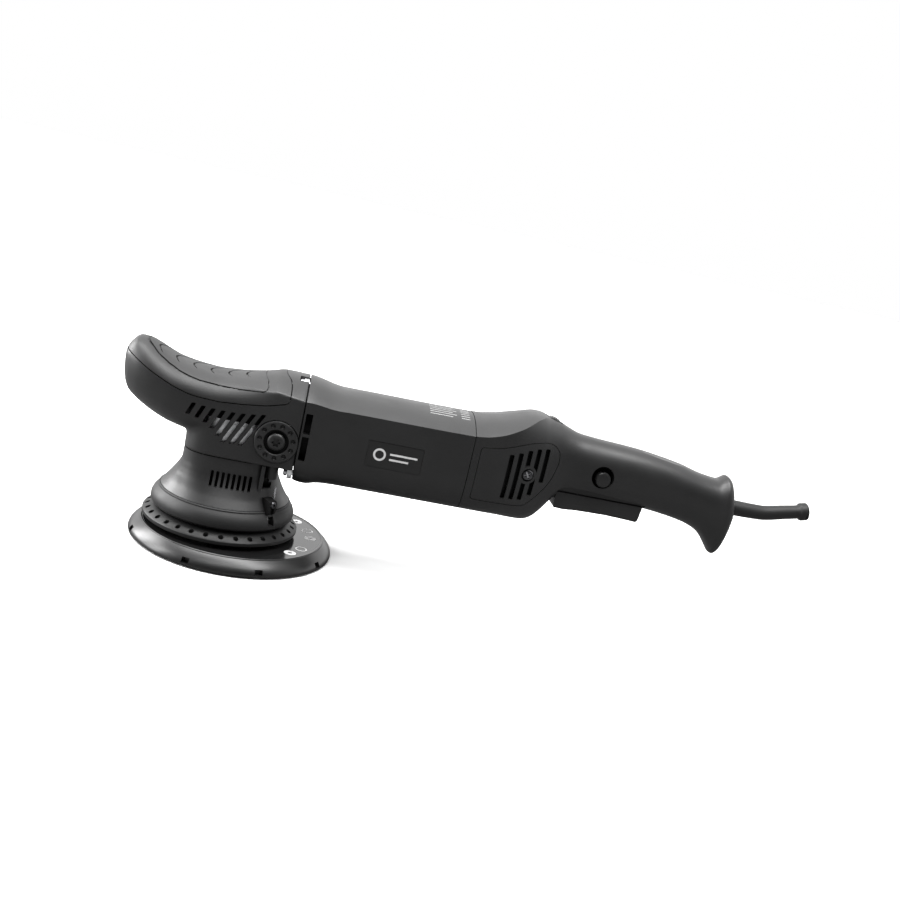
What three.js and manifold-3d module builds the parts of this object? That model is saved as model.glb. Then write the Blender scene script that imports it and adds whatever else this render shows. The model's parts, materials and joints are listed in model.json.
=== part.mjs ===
// Dual action polisher: a long-bodied electric machine that spins and orbits a round backing plate.
// Millimetres, +Z up. The origin is on the drive spindle's axis in the face of the backing plate,
// +X runs back towards the rear handle, and the orbit's throw is towards +X at rest.
import * as THREE from "three";
import { LoftGeometry } from "three/addons/geometries/LoftGeometry.js";
import { mergeVertices } from "three/addons/utils/BufferGeometryUtils.js";
import Module from "manifold-3d";

const wasm = await Module();
wasm.setup();

// ---- Driving dimensions ----------------------------------------------------------------------
const GAP = 0.3; // kept between pieces that rest on each other
const WALL = 3; // wall of every plastic shell
const THROW = 10.5; // spindle axis to plate axis, half of the 21 mm orbit
const PLATE_RADIUS = 75.8;
const HOOK_FACE_THICKNESS = 1.6;
const VENT_RING_RADIUS = 57.5;
const MOTOR_AXIS_Z = 99;
const SEAM_X = 46; // head shell to motor housing
const REAR_SEAM_X = 169.8; // motor housing to handle shells
const HANDLE_END_X = 385.5;
const NOSE_X = -85.6;
const SHROUD_TOP_Z = 71;
const SHAFT_RADIUS = 4;
const SPINDLE_RADIUS = 8;
const CROWN_TEETH = 36;
const PINION_TEETH = 10;
const CAP_X = 30.5; // round side cap on the head
const CAP_Z = 90.7;
const CAP_RADIUS = 15.6;
const TRIGGER_PIVOT = { x: 250, z: 92 };
const TRIGGER_HALF = 11.6;
const TRIGGER_WELL = { x0: 242.8, x1: 314.5, half: 12.4 };
const PLUNGER_X = 285;
const LOCK_X = 275;
const LOCK_Z = 104.5;
const LOCK_RADIUS = 5.8;
const DIAL = { x: 229.5, z: 131.3, radius: 10.3, half: 4 };
const SLEEVE_BORE = 4.2;

// ---- Outlines of the shells, as [x, value] lines -----------------------------------------------
const head = {
  top: [[NOSE_X, 128.6], [-83.5, 134.8], [-80, 139.2], [-77, 140.9], [-73, 141.2], [-58, 134.3],
    [-34, 127.6], [-12, 126.8], [12, 131.2], [26, 135.3], [SEAM_X, 135.5]],
  bottom: [[NOSE_X, 126.5], [-84, 109.8], [-80, 100.6], [-68, 92.5], [-58, 87.8], [-46, 83.9],
    [-34, 82.2], [SEAM_X, 82]],
  half: [[NOSE_X, 4], [-84.6, 11], [-82, 17], [-78, 21.6], [-72, 26], [-60, 31.2], [-46, 34.8],
    [-30, 36.5], [-14, 37.3], [SEAM_X, 38]],
  waist: [[NOSE_X, 127.6], [-72, 122], [-46, 113], [-13, 110], [20, 115], [SEAM_X, 123]],
  upper: [[NOSE_X, 2], [SEAM_X, 2]],
  lower: [[NOSE_X, 2], [-32, 2.4], [SEAM_X, 3.2]],
};
const motor = {
  top: [[SEAM_X, 135.6], [58, 133.5], [74, 130.9], [REAR_SEAM_X, 131.6]],
  bottom: [[SEAM_X, 60.4], [54, 58.4], [58, 58.8], [68, 60.9], [REAR_SEAM_X, 61.7]],
  half: [[SEAM_X, 38], [REAR_SEAM_X, 38]],
  waist: [[SEAM_X, 123], [REAR_SEAM_X, 123]],
  upper: [[SEAM_X, 2], [REAR_SEAM_X, 2]],
  lower: [[SEAM_X, 3.4], [REAR_SEAM_X, 3.4]],
};
const handle = {
  top: [[REAR_SEAM_X, 131.6], [190, 134.9], [202, 138.3], [212, 140.9], [217, 141.8],
    [222, 141.9], [228, 140.6], [236, 138.2], [250, 133.3], [256, 132.3], [270, 132.5],
    [290, 131.2], [310, 128], [350, 122.1], [364, 118.8], [371, 119.3], [376.5, 123],
    [379, 122.2], [382.4, 114], [HANDLE_END_X, 97]],
  bottom: [[REAR_SEAM_X, 61.7], [202, 60.2], [221, 58.8], [226, 59.8], [230, 62.2], [236, 69.6],
    [242, 79], [246, 83.6], [250, 84.4], [310, 85.2], [330, 83.4], [350, 80], [362, 75.4],
    [371, 67.6], [378, 59.4], [379.6, 59], [383, 65], [HANDLE_END_X, 88]],
  half: [[REAR_SEAM_X, 38], [185, 37], [200, 34], [214, 29.2], [222, 26], [232, 22.2], [242, 20],
    [252, 19], [300, 18.3], [340, 17.5], [362, 17], [377, 18.6], [381, 17.8], [HANDLE_END_X, 12.5]],
  waist: [[REAR_SEAM_X, 123], [185, 124], [200, 120], [220, 113], [240, 108], [300, 106],
    [355, 101], [375, 97], [HANDLE_END_X, 93]],
  upper: [[REAR_SEAM_X, 2], [250, 2.3], [HANDLE_END_X, 2.3]],
  lower: [[REAR_SEAM_X, 3.4], [210, 2.8], [250, 2.3], [HANDLE_END_X, 2.3]],
};

// ---- Tools -------------------------------------------------------------------------------------
// The value at x of a line of [x, value] points.
function along(line, x) {
  const last = line.length - 1;
  if (x <= line[0][0]) return line[0][1];
  if (x >= line[last][0]) return line[last][1];
  const i = line.findIndex(([px]) => px > x);
  const [x0, v0] = line[i - 1];
  const [x1, v1] = line[i];
  return v0 + ((v1 - v0) * (x - x0)) / (x1 - x0);
}

// A closed geometry as a solid that can be joined and cut.
function solid(geometry) {
  const bare = new THREE.BufferGeometry();
  bare.setAttribute("position", geometry.getAttribute("position"));
  bare.setIndex(geometry.index);
  const merged = mergeVertices(bare, 1e-4);
  const corners = [];
  const index = merged.index.array;
  for (let i = 0; i < index.length; i += 3) {
    const [a, b, c] = [index[i], index[i + 1], index[i + 2]];
    if (a !== b && b !== c && c !== a) corners.push(a, b, c);
  }
  const build = (triVerts) => new wasm.Manifold(new wasm.Mesh({
    numProp: 3,
    vertProperties: merged.attributes.position.array,
    triVerts: new Uint32Array(triVerts),
  }));
  const made = build(corners);
  return made.volume() < 0 ? build(corners.toReversed()) : made;
}

// A solid back as a geometry for a mesh.
function geometryOf(made) {
  const mesh = made.getMesh();
  const geometry = new THREE.BufferGeometry();
  geometry.setAttribute("position", new THREE.BufferAttribute(mesh.vertProperties, 3));
  geometry.setIndex(new THREE.BufferAttribute(mesh.triVerts, 1));
  const flat = geometry.toNonIndexed();
  flat.computeVertexNormals();
  return flat;
}

const join = (...pieces) => pieces.reduce((sum, piece) => sum.add(piece));
const cut = (from, ...pieces) => pieces.reduce((rest, piece) => rest.subtract(piece), from);

function box(x0, x1, y0, y1, z0, z1) {
  const shape = new THREE.BoxGeometry(x1 - x0, y1 - y0, z1 - z0);
  shape.translate((x0 + x1) / 2, (y0 + y1) / 2, (z0 + z1) / 2);
  return solid(shape);
}

function rodZ(radius, z0, z1, x = 0, y = 0, sides = 14) {
  const shape = new THREE.CylinderGeometry(radius, radius, z1 - z0, sides);
  shape.rotateX(Math.PI / 2).translate(x, y, (z0 + z1) / 2);
  return solid(shape);
}

// A cylinder along X, or a cone when the end radius differs.
function rodX(radius, x0, x1, y = 0, z = MOTOR_AXIS_Z, sides = 14, endRadius = radius) {
  const shape = new THREE.CylinderGeometry(radius, endRadius, x1 - x0, sides);
  shape.rotateZ(Math.PI / 2).translate((x0 + x1) / 2, y, z);
  return solid(shape);
}

function rodY(radius, y0, y1, x, z, sides = 16) {
  const shape = new THREE.CylinderGeometry(radius, radius, y1 - y0, sides);
  return solid(shape.translate(x, (y0 + y1) / 2, z));
}

// A ring or round body about a vertical axis; the profile is closed, as [radius, z] points.
function turned(profile, x = 0, sides = 30) {
  const points = [...profile, profile[0]].map(([r, z]) => new THREE.Vector2(r, z));
  const shape = new THREE.LatheGeometry(points, sides);
  return solid(shape.rotateX(Math.PI / 2).translate(x, 0, 0));
}

const ringZ = (inner, outer, z0, z1, x = 0, sides = 14) =>
  turned([[inner, z0], [outer, z0], [outer, z1], [inner, z1]], x, sides);

const ringX = (inner, outer, x0, x1, sides = 14) =>
  cut(rodX(outer, x0, x1, 0, MOTOR_AXIS_Z, sides),
    rodX(inner, x0 - 1, x1 + 1, 0, MOTOR_AXIS_Z, sides));

// A plate of the outline [x, z] between two values of y.
function plateY(outline, y0, y1) {
  const shape = new THREE.Shape(outline.map(([x, z]) => new THREE.Vector2(x, z)));
  const geometry = new THREE.ExtrudeGeometry(shape, { depth: y1 - y0, bevelEnabled: false });
  return solid(geometry.rotateX(Math.PI / 2).translate(0, y1, 0));
}

// A plate of the outline [x, y] between two heights.
function plateZ(outline, z0, z1) {
  const shape = new THREE.Shape(outline.map(([x, y]) => new THREE.Vector2(x, y)));
  const geometry = new THREE.ExtrudeGeometry(shape, { depth: z1 - z0, bevelEnabled: false });
  return solid(geometry.translate(0, 0, z0));
}

// A plate of the outline [y, z] between two values of x.
function plateX(outline, x0, x1) {
  const shape = new THREE.Shape(outline.map(([y, z]) => new THREE.Vector2(y, z)));
  const geometry = new THREE.ExtrudeGeometry(shape, { depth: x1 - x0, bevelEnabled: false });
  const axes = new THREE.Matrix4().set(0, 0, 1, x0, 1, 0, 0, 0, 0, 1, 0, 0, 0, 0, 0, 1);
  return solid(geometry.applyMatrix4(axes));
}

// One ring of a shell's section across X: two superellipse halves that meet at the waist.
function sectionRing(form, x, inset, sides) {
  const half = Math.max(along(form.half, x) - inset, 0.5);
  const waist = along(form.waist, x);
  const up = Math.max(along(form.top, x) - waist - inset, 0.5);
  const down = Math.max(waist - along(form.bottom, x) - inset, 0.5);
  const ring = [];
  for (let i = 0; i < sides; i++) {
    const angle = (2 * Math.PI * i) / sides;
    const [c, s] = [Math.cos(angle), Math.sin(angle)];
    const power = 2 / along(s >= 0 ? form.upper : form.lower, x);
    const y = half * Math.sign(c) * Math.abs(c) ** power;
    const z = waist + (s >= 0 ? up : down) * Math.sign(s) * Math.abs(s) ** power;
    ring.push(new THREE.Vector3(x, y, z));
  }
  return ring;
}

// The solid inside a shell's outline, drawn in by inset, with a section at each station.
function loft(form, stations, inset = 0, sides = 18) {
  const rings = stations.map((x) => sectionRing(form, x, inset, sides));
  return solid(new LoftGeometry(rings, { capStart: true, capEnd: true }));
}

const times = (count, make) => Array.from({ length: count }, (_, i) => make(i));
const aboutZ = (made, degrees) => made.rotate([0, 0, degrees]);

// ---- Materials ---------------------------------------------------------------------------------
const finish = (color, roughness, metalness = 0) => ({ color, roughness, metalness });
const FINISHES = {
  plastic: finish(0x2b2b2b, 0.55),
  rubber: finish(0x1d1d1d, 0.8),
  aluminium: finish(0xb4b6b8, 0.4, 1),
  steel: finish(0x9a9ca0, 0.3, 1),
  core: finish(0x6d6f72, 0.5, 0.8),
  copper: finish(0xb06a3b, 0.35, 1),
  hook: finish(0x3a3a3a, 0.95),
  carbon: finish(0x202022, 0.7),
  board: finish(0x2f5a3c, 0.6),
};

const group = new THREE.Group();
function add(name, kind, made) {
  const material = new THREE.MeshStandardMaterial(FINISHES[kind]);
  const mesh = new THREE.Mesh(geometryOf(made), material);
  mesh.name = name;
  group.add(mesh);
}

// ---- Backing plate and its spindle, on the plate's own axis -------------------------------------
const PLATE_BASE_Z = HOOK_FACE_THICKNESS + GAP;
const HOOK_FACE_RADIUS = PLATE_RADIUS - 2.2;
const SKIRT_FOOT_Z = 0.5; // the skirt wraps the hook face and stays just clear of the work
const BOSS_TOP_Z = 13.4;
const BOLT_HEAD = { radius: 7, z0: 3, z1: 8 };

function backingPlate() {
  const plate = turned([[BOLT_HEAD.radius + 1, PLATE_BASE_Z], [HOOK_FACE_RADIUS + GAP, PLATE_BASE_Z],
    [HOOK_FACE_RADIUS + GAP, SKIRT_FOOT_Z], [PLATE_RADIUS - 0.4, SKIRT_FOOT_Z],
    [PLATE_RADIUS, 1.4], [75, 4], [73.4, 7.5], [70.8, 10.6], [68.4, 11.7], [34, 11.7],
    [26, BOSS_TOP_Z], [4.3, BOSS_TOP_Z], [4.3, BOLT_HEAD.z1 + GAP],
    [BOLT_HEAD.radius + 1, BOLT_HEAD.z1 + GAP]], THROW, 36);
  const notches = times(8, (i) =>
    aboutZ(box(74, 78, -2.7, 2.7, 1.7, 6.2), 19 + 45 * i).translate([THROW, 0, 0]));
  return cut(plate, ...notches);
}

add("backing_plate", "plastic", backingPlate());
add("hook_face", "hook", ringZ(BOLT_HEAD.radius + 1, HOOK_FACE_RADIUS, 0,
  HOOK_FACE_THICKNESS, THROW, 36));
add("plate_bolt", "steel", join(
  rodZ(BOLT_HEAD.radius, BOLT_HEAD.z0, BOLT_HEAD.z1, THROW),
  rodZ(3.9, BOLT_HEAD.z1 - 1, 29, THROW),
).subtract(rodZ(3, 1, 6, THROW, 0, 6)));
add("pad_spindle", "steel", cut(
  join(rodZ(12, BOSS_TOP_Z + GAP, 20, THROW), rodZ(6, 19, 43, THROW)),
  rodZ(4.2, BOSS_TOP_Z - 1, 30, THROW),
));
add("pad_bearing_inner", "steel", ringZ(6.3, 8.5, 32, 42, THROW));

// ---- Drive: spindle, crown gear and eccentric counterweight -------------------------------------
const PITCH_SLOPE = PINION_TEETH / CROWN_TEETH; // both pitch cones meet where the axes cross
const crownZ = (radius, depth) => MOTOR_AXIS_Z - radius * PITCH_SLOPE * depth;
const TOOTH_TIP = 0.865; // pitch cone's slope times this is the tip cone, and so on
const TOOTH_ROOT = 1.2;
const TOOTH_WIDTHS = { tip: 0.0175, root: 0.0425 }; // half widths per mm of cone distance

// One tapered tooth that points up, along +X from the apex of the cones.
function crownTooth(inner, outer) {
  const face = (r) => {
    const [low, high] = [crownZ(r, TOOTH_ROOT) - 0.5, crownZ(r, TOOTH_TIP)];
    const [wide, narrow] = [r * TOOTH_WIDTHS.root, r * TOOTH_WIDTHS.tip];
    return [[wide, low], [narrow, high], [-narrow, high], [-wide, low]]
      .map(([y, z]) => new THREE.Vector3(r, y, z));
  };
  return solid(new LoftGeometry([face(inner), face(outer)], { capStart: true, capEnd: true }));
}

function crownGear() {
  const body = turned([[SPINDLE_RADIUS + GAP, 79], [13, 79], [24, 84],
    [24, crownZ(24, TOOTH_ROOT)], [SPINDLE_RADIUS + GAP, 95]], 0, 36);
  return join(body, ...times(CROWN_TEETH, (i) =>
    aboutZ(crownTooth(15.5, 23.8), (360 / CROWN_TEETH) * i)));
}

const ECCENTRIC = { bore: 13.3, cup: 17, z0: 24, z1: 46 };
function eccentricCounterweight() {
  const arc = times(11, (i) => THREE.MathUtils.degToRad(115 + 13 * i));
  const weight = plateZ([...arc.map((a) => [37 * Math.cos(a), 37 * Math.sin(a)]), [-5, -12],
    [-5, 12]], 26, ECCENTRIC.z1);
  const hub = rodZ(14, ECCENTRIC.z1 - 2, 58);
  const cup = rodZ(ECCENTRIC.cup, ECCENTRIC.z0, ECCENTRIC.z1 + 3, THROW);
  return cut(join(weight, hub, cup), rodZ(ECCENTRIC.bore, 20, ECCENTRIC.z1 - 1, THROW),
    rodZ(SPINDLE_RADIUS + GAP, ECCENTRIC.z1, 60));
}

add("crown_gear", "steel", crownGear());
add("drive_spindle", "steel", join(rodZ(SPINDLE_RADIUS, 50, 96), rodZ(12, 75, 78.7)));
add("eccentric_counterweight", "core", eccentricCounterweight());
add("spindle_bearing_inner", "steel", ringZ(SPINDLE_RADIUS + GAP, 11, 61, 71));
add("pad_bearing_outer", "steel", ringZ(10.2, 13, 32, 42, THROW));

// ---- Armature, on the motor's axis ---------------------------------------------------------------
const PINION = { x0: 16, x1: 24, hub: 7, hubEnd: 37.5 };

// One tapered pinion tooth that points away from the motor's axis, along +Z before it is turned.
function pinionTooth() {
  const face = (x) => {
    const [low, high] = [x * PITCH_SLOPE * 0.7, x * PITCH_SLOPE * 1.134];
    const [wide, narrow] = [x * TOOTH_WIDTHS.root, x * TOOTH_WIDTHS.tip];
    return [[wide, low], [narrow, high], [-narrow, high], [-wide, low]]
      .map(([y, z]) => new THREE.Vector3(x, y, z));
  };
  return solid(new LoftGeometry([face(PINION.x0), face(PINION.x1)],
    { capStart: true, capEnd: true }));
}

function pinion() {
  const root = (x) => x * PITCH_SLOPE * 0.8;
  const cone = rodX(root(PINION.x0), PINION.x0, PINION.x1 + 0.5, 0, MOTOR_AXIS_Z, 20,
    root(PINION.x1));
  const hub = rodX(PINION.hub, PINION.x1 + 0.4, PINION.hubEnd);
  // the first tooth stands straight up, so a gap between two teeth faces the crown gear
  const step = 360 / PINION_TEETH;
  const teeth = times(PINION_TEETH, (i) =>
    pinionTooth().rotate([step * (i + 0.5) + 180, 0, 0]).translate([0, 0, MOTOR_AXIS_Z]));
  return cut(join(cone, hub, ...teeth), rodX(SHAFT_RADIUS + GAP, 26, PINION.hubEnd + 1));
}

function coolingFan() {
  const blades = times(9, (i) =>
    box(53, 60.5, -0.9, 0.9, 8, 25.5).rotate([40 * i, 0, 0]).translate([0, 0, MOTOR_AXIS_Z]));
  const disc = rodX(26, 60, 62, 0, MOTOR_AXIS_Z, 24);
  return cut(join(disc, rodX(9, 52, 62), ...blades), rodX(SHAFT_RADIUS + GAP, 50, 64));
}

function armatureCore() {
  const slots = times(8, (i) =>
    box(80, 135, -1.2, 1.2, 13, 20).rotate([45 * i, 0, 0]).translate([0, 0, MOTOR_AXIS_Z]));
  return cut(ringX(SHAFT_RADIUS + GAP, 18.5, 82, 133, 24), ...slots);
}

add("pinion", "steel", pinion());
add("armature_shaft", "steel", rodX(SHAFT_RADIUS, 26.5, 168, 0, MOTOR_AXIS_Z, 16));
add("cooling_fan", "plastic", coolingFan());
add("armature_core", "core", armatureCore());
add("commutator", "copper", ringX(SHAFT_RADIUS + GAP, 11, 144, 158));
add("front_bearing_inner", "steel", ringX(SHAFT_RADIUS + GAP, 7, 38.5, 47));
add("rear_bearing_inner", "steel", ringX(SHAFT_RADIUS + GAP, 6.4, 161, 168));

// ---- Gear case -------------------------------------------------------------------------------------
const CASE_RADIUS = 30.2;
const CASE_TOP_Z = 107;
const FLANGE = { x0: 42.2, x1: 45.6 };
const CAP_SKIRT = { foot: 98.5, inner: 30.6, outer: 32.2 };
const TUNNEL_HALF = 17;
// [y, z] of the case screws
const SCREW_SPOTS = [[27, 68], [-27, 68], [10.8, 130.8], [-10.8, 130.8]];

function gearCase() {
  const pot = turned([[17.3, 60], [21.5, 60], [21.5, 72.5], [CASE_RADIUS, 74.5],
    [CASE_RADIUS, CASE_TOP_Z], [27.6, CASE_TOP_Z], [27.6, 77], [17.3, 74]], 0, 22);
  const tunnel = box(24, FLANGE.x0 + 1, -TUNNEL_HALF, TUNNEL_HALF, 82, CASE_TOP_Z);
  const flange = plateX([[-29, 78], [-31, 68], [-27, 63.8], [27, 63.8], [31, 68], [29, 78],
    [29, 112], [20, 124], [15, 127], [15, 134.2], [-15, 134.2], [-15, 127], [-20, 124],
    [-29, 112]], FLANGE.x0, FLANGE.x1);
  const boss = rodX(16.5, 37.8, 47.3);
  const inside = turned([[0, 77], [27.6, 77], [27.6, CASE_TOP_Z + 1], [0, CASE_TOP_Z + 1]], 0, 22);
  const holes = SCREW_SPOTS.map(([y, z]) => rodX(2.4, 39, 48, y, z, 12));
  return cut(join(pot, tunnel, flange, boss), inside, rodX(9, 10, 38.2), rodX(13.3, 38, 49),
    rodZ(17.3, 58, 79), ...holes);
}

// A pan-headed screw along X, its head towards the front.
function caseScrew(y, z) {
  const [face, seat] = [FLANGE.x0 - 3, FLANGE.x0 - GAP];
  const shank = rodX(2, seat - 1, FLANGE.x1 + 8, y, z, 12);
  return cut(join(rodX(3, face, seat, y, z, 16), shank), rodX(1.5, face - 1, face + 1.5, y, z, 6));
}

add("gear_case", "aluminium", gearCase());
// A cap on top of the pot, with a skirt round it that is open where the tunnel comes out.
add("gear_case_cover", "plastic", cut(
  join(
    rodZ(CAP_SKIRT.outer, CASE_TOP_Z + GAP, CASE_TOP_Z + 3.3, 0, 0, 22),
    ringZ(CAP_SKIRT.inner, CAP_SKIRT.outer, CAP_SKIRT.foot, CASE_TOP_Z + 1, 0, 22),
    rodZ(12, CASE_TOP_Z + 3, CASE_TOP_Z + 6),
  ),
  box(20, 40, -TUNNEL_HALF - GAP, TUNNEL_HALF + GAP, CAP_SKIRT.foot - 1, CASE_TOP_Z + GAP),
));
SCREW_SPOTS.forEach(([y, z], i) => add("case_screw_" + (i + 1), "steel", caseScrew(y, z)));
add("front_bearing_outer", "steel", ringX(9, 13, 38.5, 47));
add("spindle_bearing_outer", "steel", ringZ(13.5, 17, 61, 71));

// ---- Shroud, collar and vent ring --------------------------------------------------------------
const SHROUD_FOOT_Z = 38.2;

function shroud() {
  const bell = turned([[31, SHROUD_TOP_Z - GAP], [31, 61], [34, 54], [39.5, 45],
    [44.5, SHROUD_FOOT_Z], [47.5, SHROUD_FOOT_Z], [42.5, 45], [37, 54], [34, 61],
    [34, SHROUD_TOP_Z - GAP]], 0, 32);
  const channel = box(26, 34.5, -20, 20, 60, SHROUD_TOP_Z - GAP);
  const inside = rodZ(31, 55, 75, 0, 0, 32);
  const slots = times(8, (i) => box(-10.5 + 3.9 * i, -8.5 + 3.9 * i, -60, 60, 50, 61));
  const screwHoles = [-15, 15].map((y) => rodX(2, 20, 40, y, 65, 12));
  return cut(join(bell, channel), inside, ...slots, ...screwHoles);
}

function ventRing() {
  return turned([[46.8, 14.5], [VENT_RING_RADIUS, 14.5], [VENT_RING_RADIUS, 17.7],
    [46.8, 23]], 0, 36);
}

add("shroud", "plastic", shroud());
add("shroud_collar", "rubber", turned([[43.4, 16.5], [46.3, 16.5], [46.3, 23.3], [50, 23.6],
  [52.6, 27], [51.4, 33], [47.8, SHROUD_FOOT_Z - GAP], [44.6, SHROUD_FOOT_Z - GAP], [47, 28],
  [43.4, 25]]));
add("vent_ring", "plastic", ventRing());
const shroudScrew = (y) => join(rodX(1.7, 27, 35, y, 65, 10), rodX(3.2, 34.8, 37, y, 65, 12));
add("shroud_screw_left", "steel", shroudScrew(-15));
add("shroud_screw_right", "steel", shroudScrew(15));

// The clamp is a small bracket outside the collar's top, with its screw.
const CLAMP = { angle: -57, inner: 53.2, outer: 57, z0: 36, z1: 50 };
const clampPlace = (made) => aboutZ(made, CLAMP.angle);
add("collar_clamp", "plastic", clampPlace(cut(join(
  box(CLAMP.inner, CLAMP.outer, -4.5, 4.5, CLAMP.z0, CLAMP.z1),
  box(46, CLAMP.inner + 1, -4.5, 4.5, 43, CLAMP.z1),
), rodX(2, 45, 60, 0, 46.5, 12))));
add("collar_clamp_screw", "steel", clampPlace(join(
  rodX(1.7, 48, CLAMP.outer, 0, 46.5, 10),
  rodX(3, CLAMP.outer + GAP, CLAMP.outer + 1.8, 0, 46.5, 12),
  rodX(1.7, CLAMP.outer - 1, CLAMP.outer + 1, 0, 46.5, 10),
)));

// ---- Head shell, its grip cover, grip pad and side caps -------------------------------------------
const HEAD_STATIONS = [NOSE_X, -84.6, -83.5, -81.5, -78, -72, -66, -58, -46, -34, -12, 12, 26,
  SEAM_X - 0.15];
const PAD_DEPTH = 1.6;
const NECK_HALF = 34.9;

// The neck's plan: round at the front, flat at the sides.
function neckOutline(inset) {
  const radius = NECK_HALF - inset;
  const back = SEAM_X - 0.15;
  const round = times(13, (i) => {
    const angle = THREE.MathUtils.degToRad(90 + 15 * i);
    return [radius * Math.cos(angle), radius * Math.sin(angle)];
  });
  return [[back, radius], ...round, [back, -radius]];
}

// The region over the grip cover's lower seam, lowered or raised a little to leave a gap.
const coverRegion = (shift) => plateY([[-90, 133.5 + shift], [-82, 131.5 + shift],
  [-72, 126.7 + shift], [-56, 119.7 + shift], [-46, 116 + shift], [-35, 113.1 + shift],
  [-13, 111.9 + shift], [4, 113.4 + shift], [20, 115.7 + shift], [34 - shift, 119.8 + shift],
  [34 - shift, 130], [26 - shift, 140], [20, 150], [-90, 150]], -50, 50);
const padRegion = (inset) => plateY([[-72.5 + inset, 150], [-71.5 + inset, 140 + inset],
  [-66.3, 137.2 + inset], [-60.6, 133.2 + inset], [-52.4, 128.9 + inset], [-44.5, 125.8 + inset],
  [-29.6, 122.6 + inset], [-15, 121.8 + inset], [-1.5, 122.3 + inset],
  [16.5 - inset, 124.5 + inset], [17.8 - inset, 126.7], [16.8 - inset, 129.8], [11.5 - inset, 133],
  [11.5 - inset, 150]], -50, 50);

function headShell() {
  const outside = join(loft(head, HEAD_STATIONS), plateZ(neckOutline(0), SHROUD_TOP_Z, 100));
  const hollow = join(
    loft(head, [-81, -77, -72, -58, -46, -34, -12, 12, 26, 50], WALL, 16),
    plateZ(neckOutline(WALL), SHROUD_TOP_Z - 5, 100),
  );
  const vents = times(8, (i) => {
    const top = { x: -31.6 + 7 * i, z: 106 + 0.16 * (i - 3) ** 2 };
    const z = Math.max(82.6, 98.3 - 0.9 * i - 0.5 * i * i);
    const x = top.x - (0.4 + 0.016 * i) * (top.z - z);
    return plateY([[x, z], [x + 3, z], [top.x + 3, top.z], [top.x, top.z]], -60, 60);
  });
  const capSeats = [-45, 34.6].map((y) => rodY(CAP_RADIUS + GAP, y, y + 10.4, CAP_X, CAP_Z));
  const notch = box(38.5, SEAM_X + 1, -15.6, 15.6, 125, 145);
  const shell = cut(outside, hollow, ...capSeats, notch);
  const vented = cut(shell, ...vents);
  return { shell: cut(vented, coverRegion(-GAP)),
    cover: cut(shell.intersect(coverRegion(0)), padPocket(GAP)) };
}

// The pocket that holds the grip pad: the skin of the head over the pad's outline.
function padPocket(gap) {
  const skin = cut(loft(head, HEAD_STATIONS, -1), loft(head, HEAD_STATIONS, PAD_DEPTH + gap));
  return skin.intersect(padRegion(-gap));
}

const { shell: headShellSolid, cover: gripCoverSolid } = headShell();
add("head_shell", "plastic", headShellSolid);
add("grip_cover", "plastic", gripCoverSolid);
add("grip_pad", "rubber", cut(loft(head, HEAD_STATIONS), loft(head, HEAD_STATIONS, PAD_DEPTH))
  .intersect(padRegion(0)));

const sideCap = () => cut(join(rodY(CAP_RADIUS, 35, 38, CAP_X, CAP_Z, 24),
  rodY(7, 37, 39, CAP_X, CAP_Z, 16)), rodY(2.2, 37.6, 40, CAP_X, CAP_Z, 6));
add("side_cap_right", "plastic", sideCap());
add("side_cap_left", "plastic", sideCap().mirror([0, 1, 0]));

// ---- Motor housing and what it holds ---------------------------------------------------------------
const FAN_GUIDE = { inner: 28.5, outer: 33.5, x0: 47.6, x1: 64 };

// The housing's shell, with a guide ring round the fan behind its front slots, and at its rear a
// bearing seat on four arms.
function motorHousing() {
  const outside = loft(motor, [SEAM_X + 0.15, 50, 54, 58, 62, 68, 74, REAR_SEAM_X - 0.15], 0, 22);
  const hollow = loft(motor, [SEAM_X - 2, 54, 58, 68, 74, REAR_SEAM_X + 2], WALL, 16);
  const slots = [box(47.5, 52.5, -60, 60, 80, 98), box(47.5, 52.5, -60, 60, 101, 115)];
  const guide = cut(join(
    rodX(FAN_GUIDE.outer, FAN_GUIDE.x0, FAN_GUIDE.x1, 0, MOTOR_AXIS_Z, 24),
    box(FAN_GUIDE.x0, FAN_GUIDE.x1, -36.5, 36.5, 98.2, 100.8),
  ), rodX(FAN_GUIDE.inner, FAN_GUIDE.x0 - 1, FAN_GUIDE.x1 + 1, 0, MOTOR_AXIS_Z, 24));
  const seat = ringX(11.3, 14, 160.5, 169);
  const arms = [box(162, 169, -36.5, 36.5, 97, 101), box(162, 169, -2, 2, 60, 130)];
  const spider = cut(join(seat, ...arms), rodX(11.3, 158, 172));
  const screwHoles = SCREW_SPOTS.map(([y, z]) => rodX(2.4, 44, 54.4, y, z, 12));
  const inner = join(guide, spider).intersect(outside);
  return cut(join(cut(outside, hollow, ...slots), inner), ...screwHoles);
}

// One field coil: two curved end turns joined by two straight runs through the stator.
function fieldCoil(gap = 0) {
  const half = box(60, 150, -40, 40, MOTOR_AXIS_Z + 3.5 - gap, 140);
  const ends = [[70, 79.7], [135.3, 143]].map(([x0, x1]) =>
    ringX(20.5, 26.5, x0, x1, 24).intersect(half));
  const runs = [-1, 1].map((side) => {
    const y = side * 22;
    return box(72, 141, y - 2 - gap, y + 2 + gap, MOTOR_AXIS_Z + 3.5 - gap, MOTOR_AXIS_Z + 9 + gap);
  });
  return gap ? join(...runs) : join(...ends, ...runs);
}

const underside = (made) => made.translate([0, 0, -MOTOR_AXIS_Z]).mirror([0, 0, 1])
  .translate([0, 0, MOTOR_AXIS_Z]);

add("motor_housing", "plastic", motorHousing());
add("stator_core", "core", cut(ringX(19.4, 28, 80, 135, 24), fieldCoil(GAP),
  underside(fieldCoil(GAP))));
add("field_coil_upper", "copper", fieldCoil());
add("field_coil_lower", "copper", underside(fieldCoil()));
add("rear_bearing_outer", "steel", ringX(8, 11, 161, 168));

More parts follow.
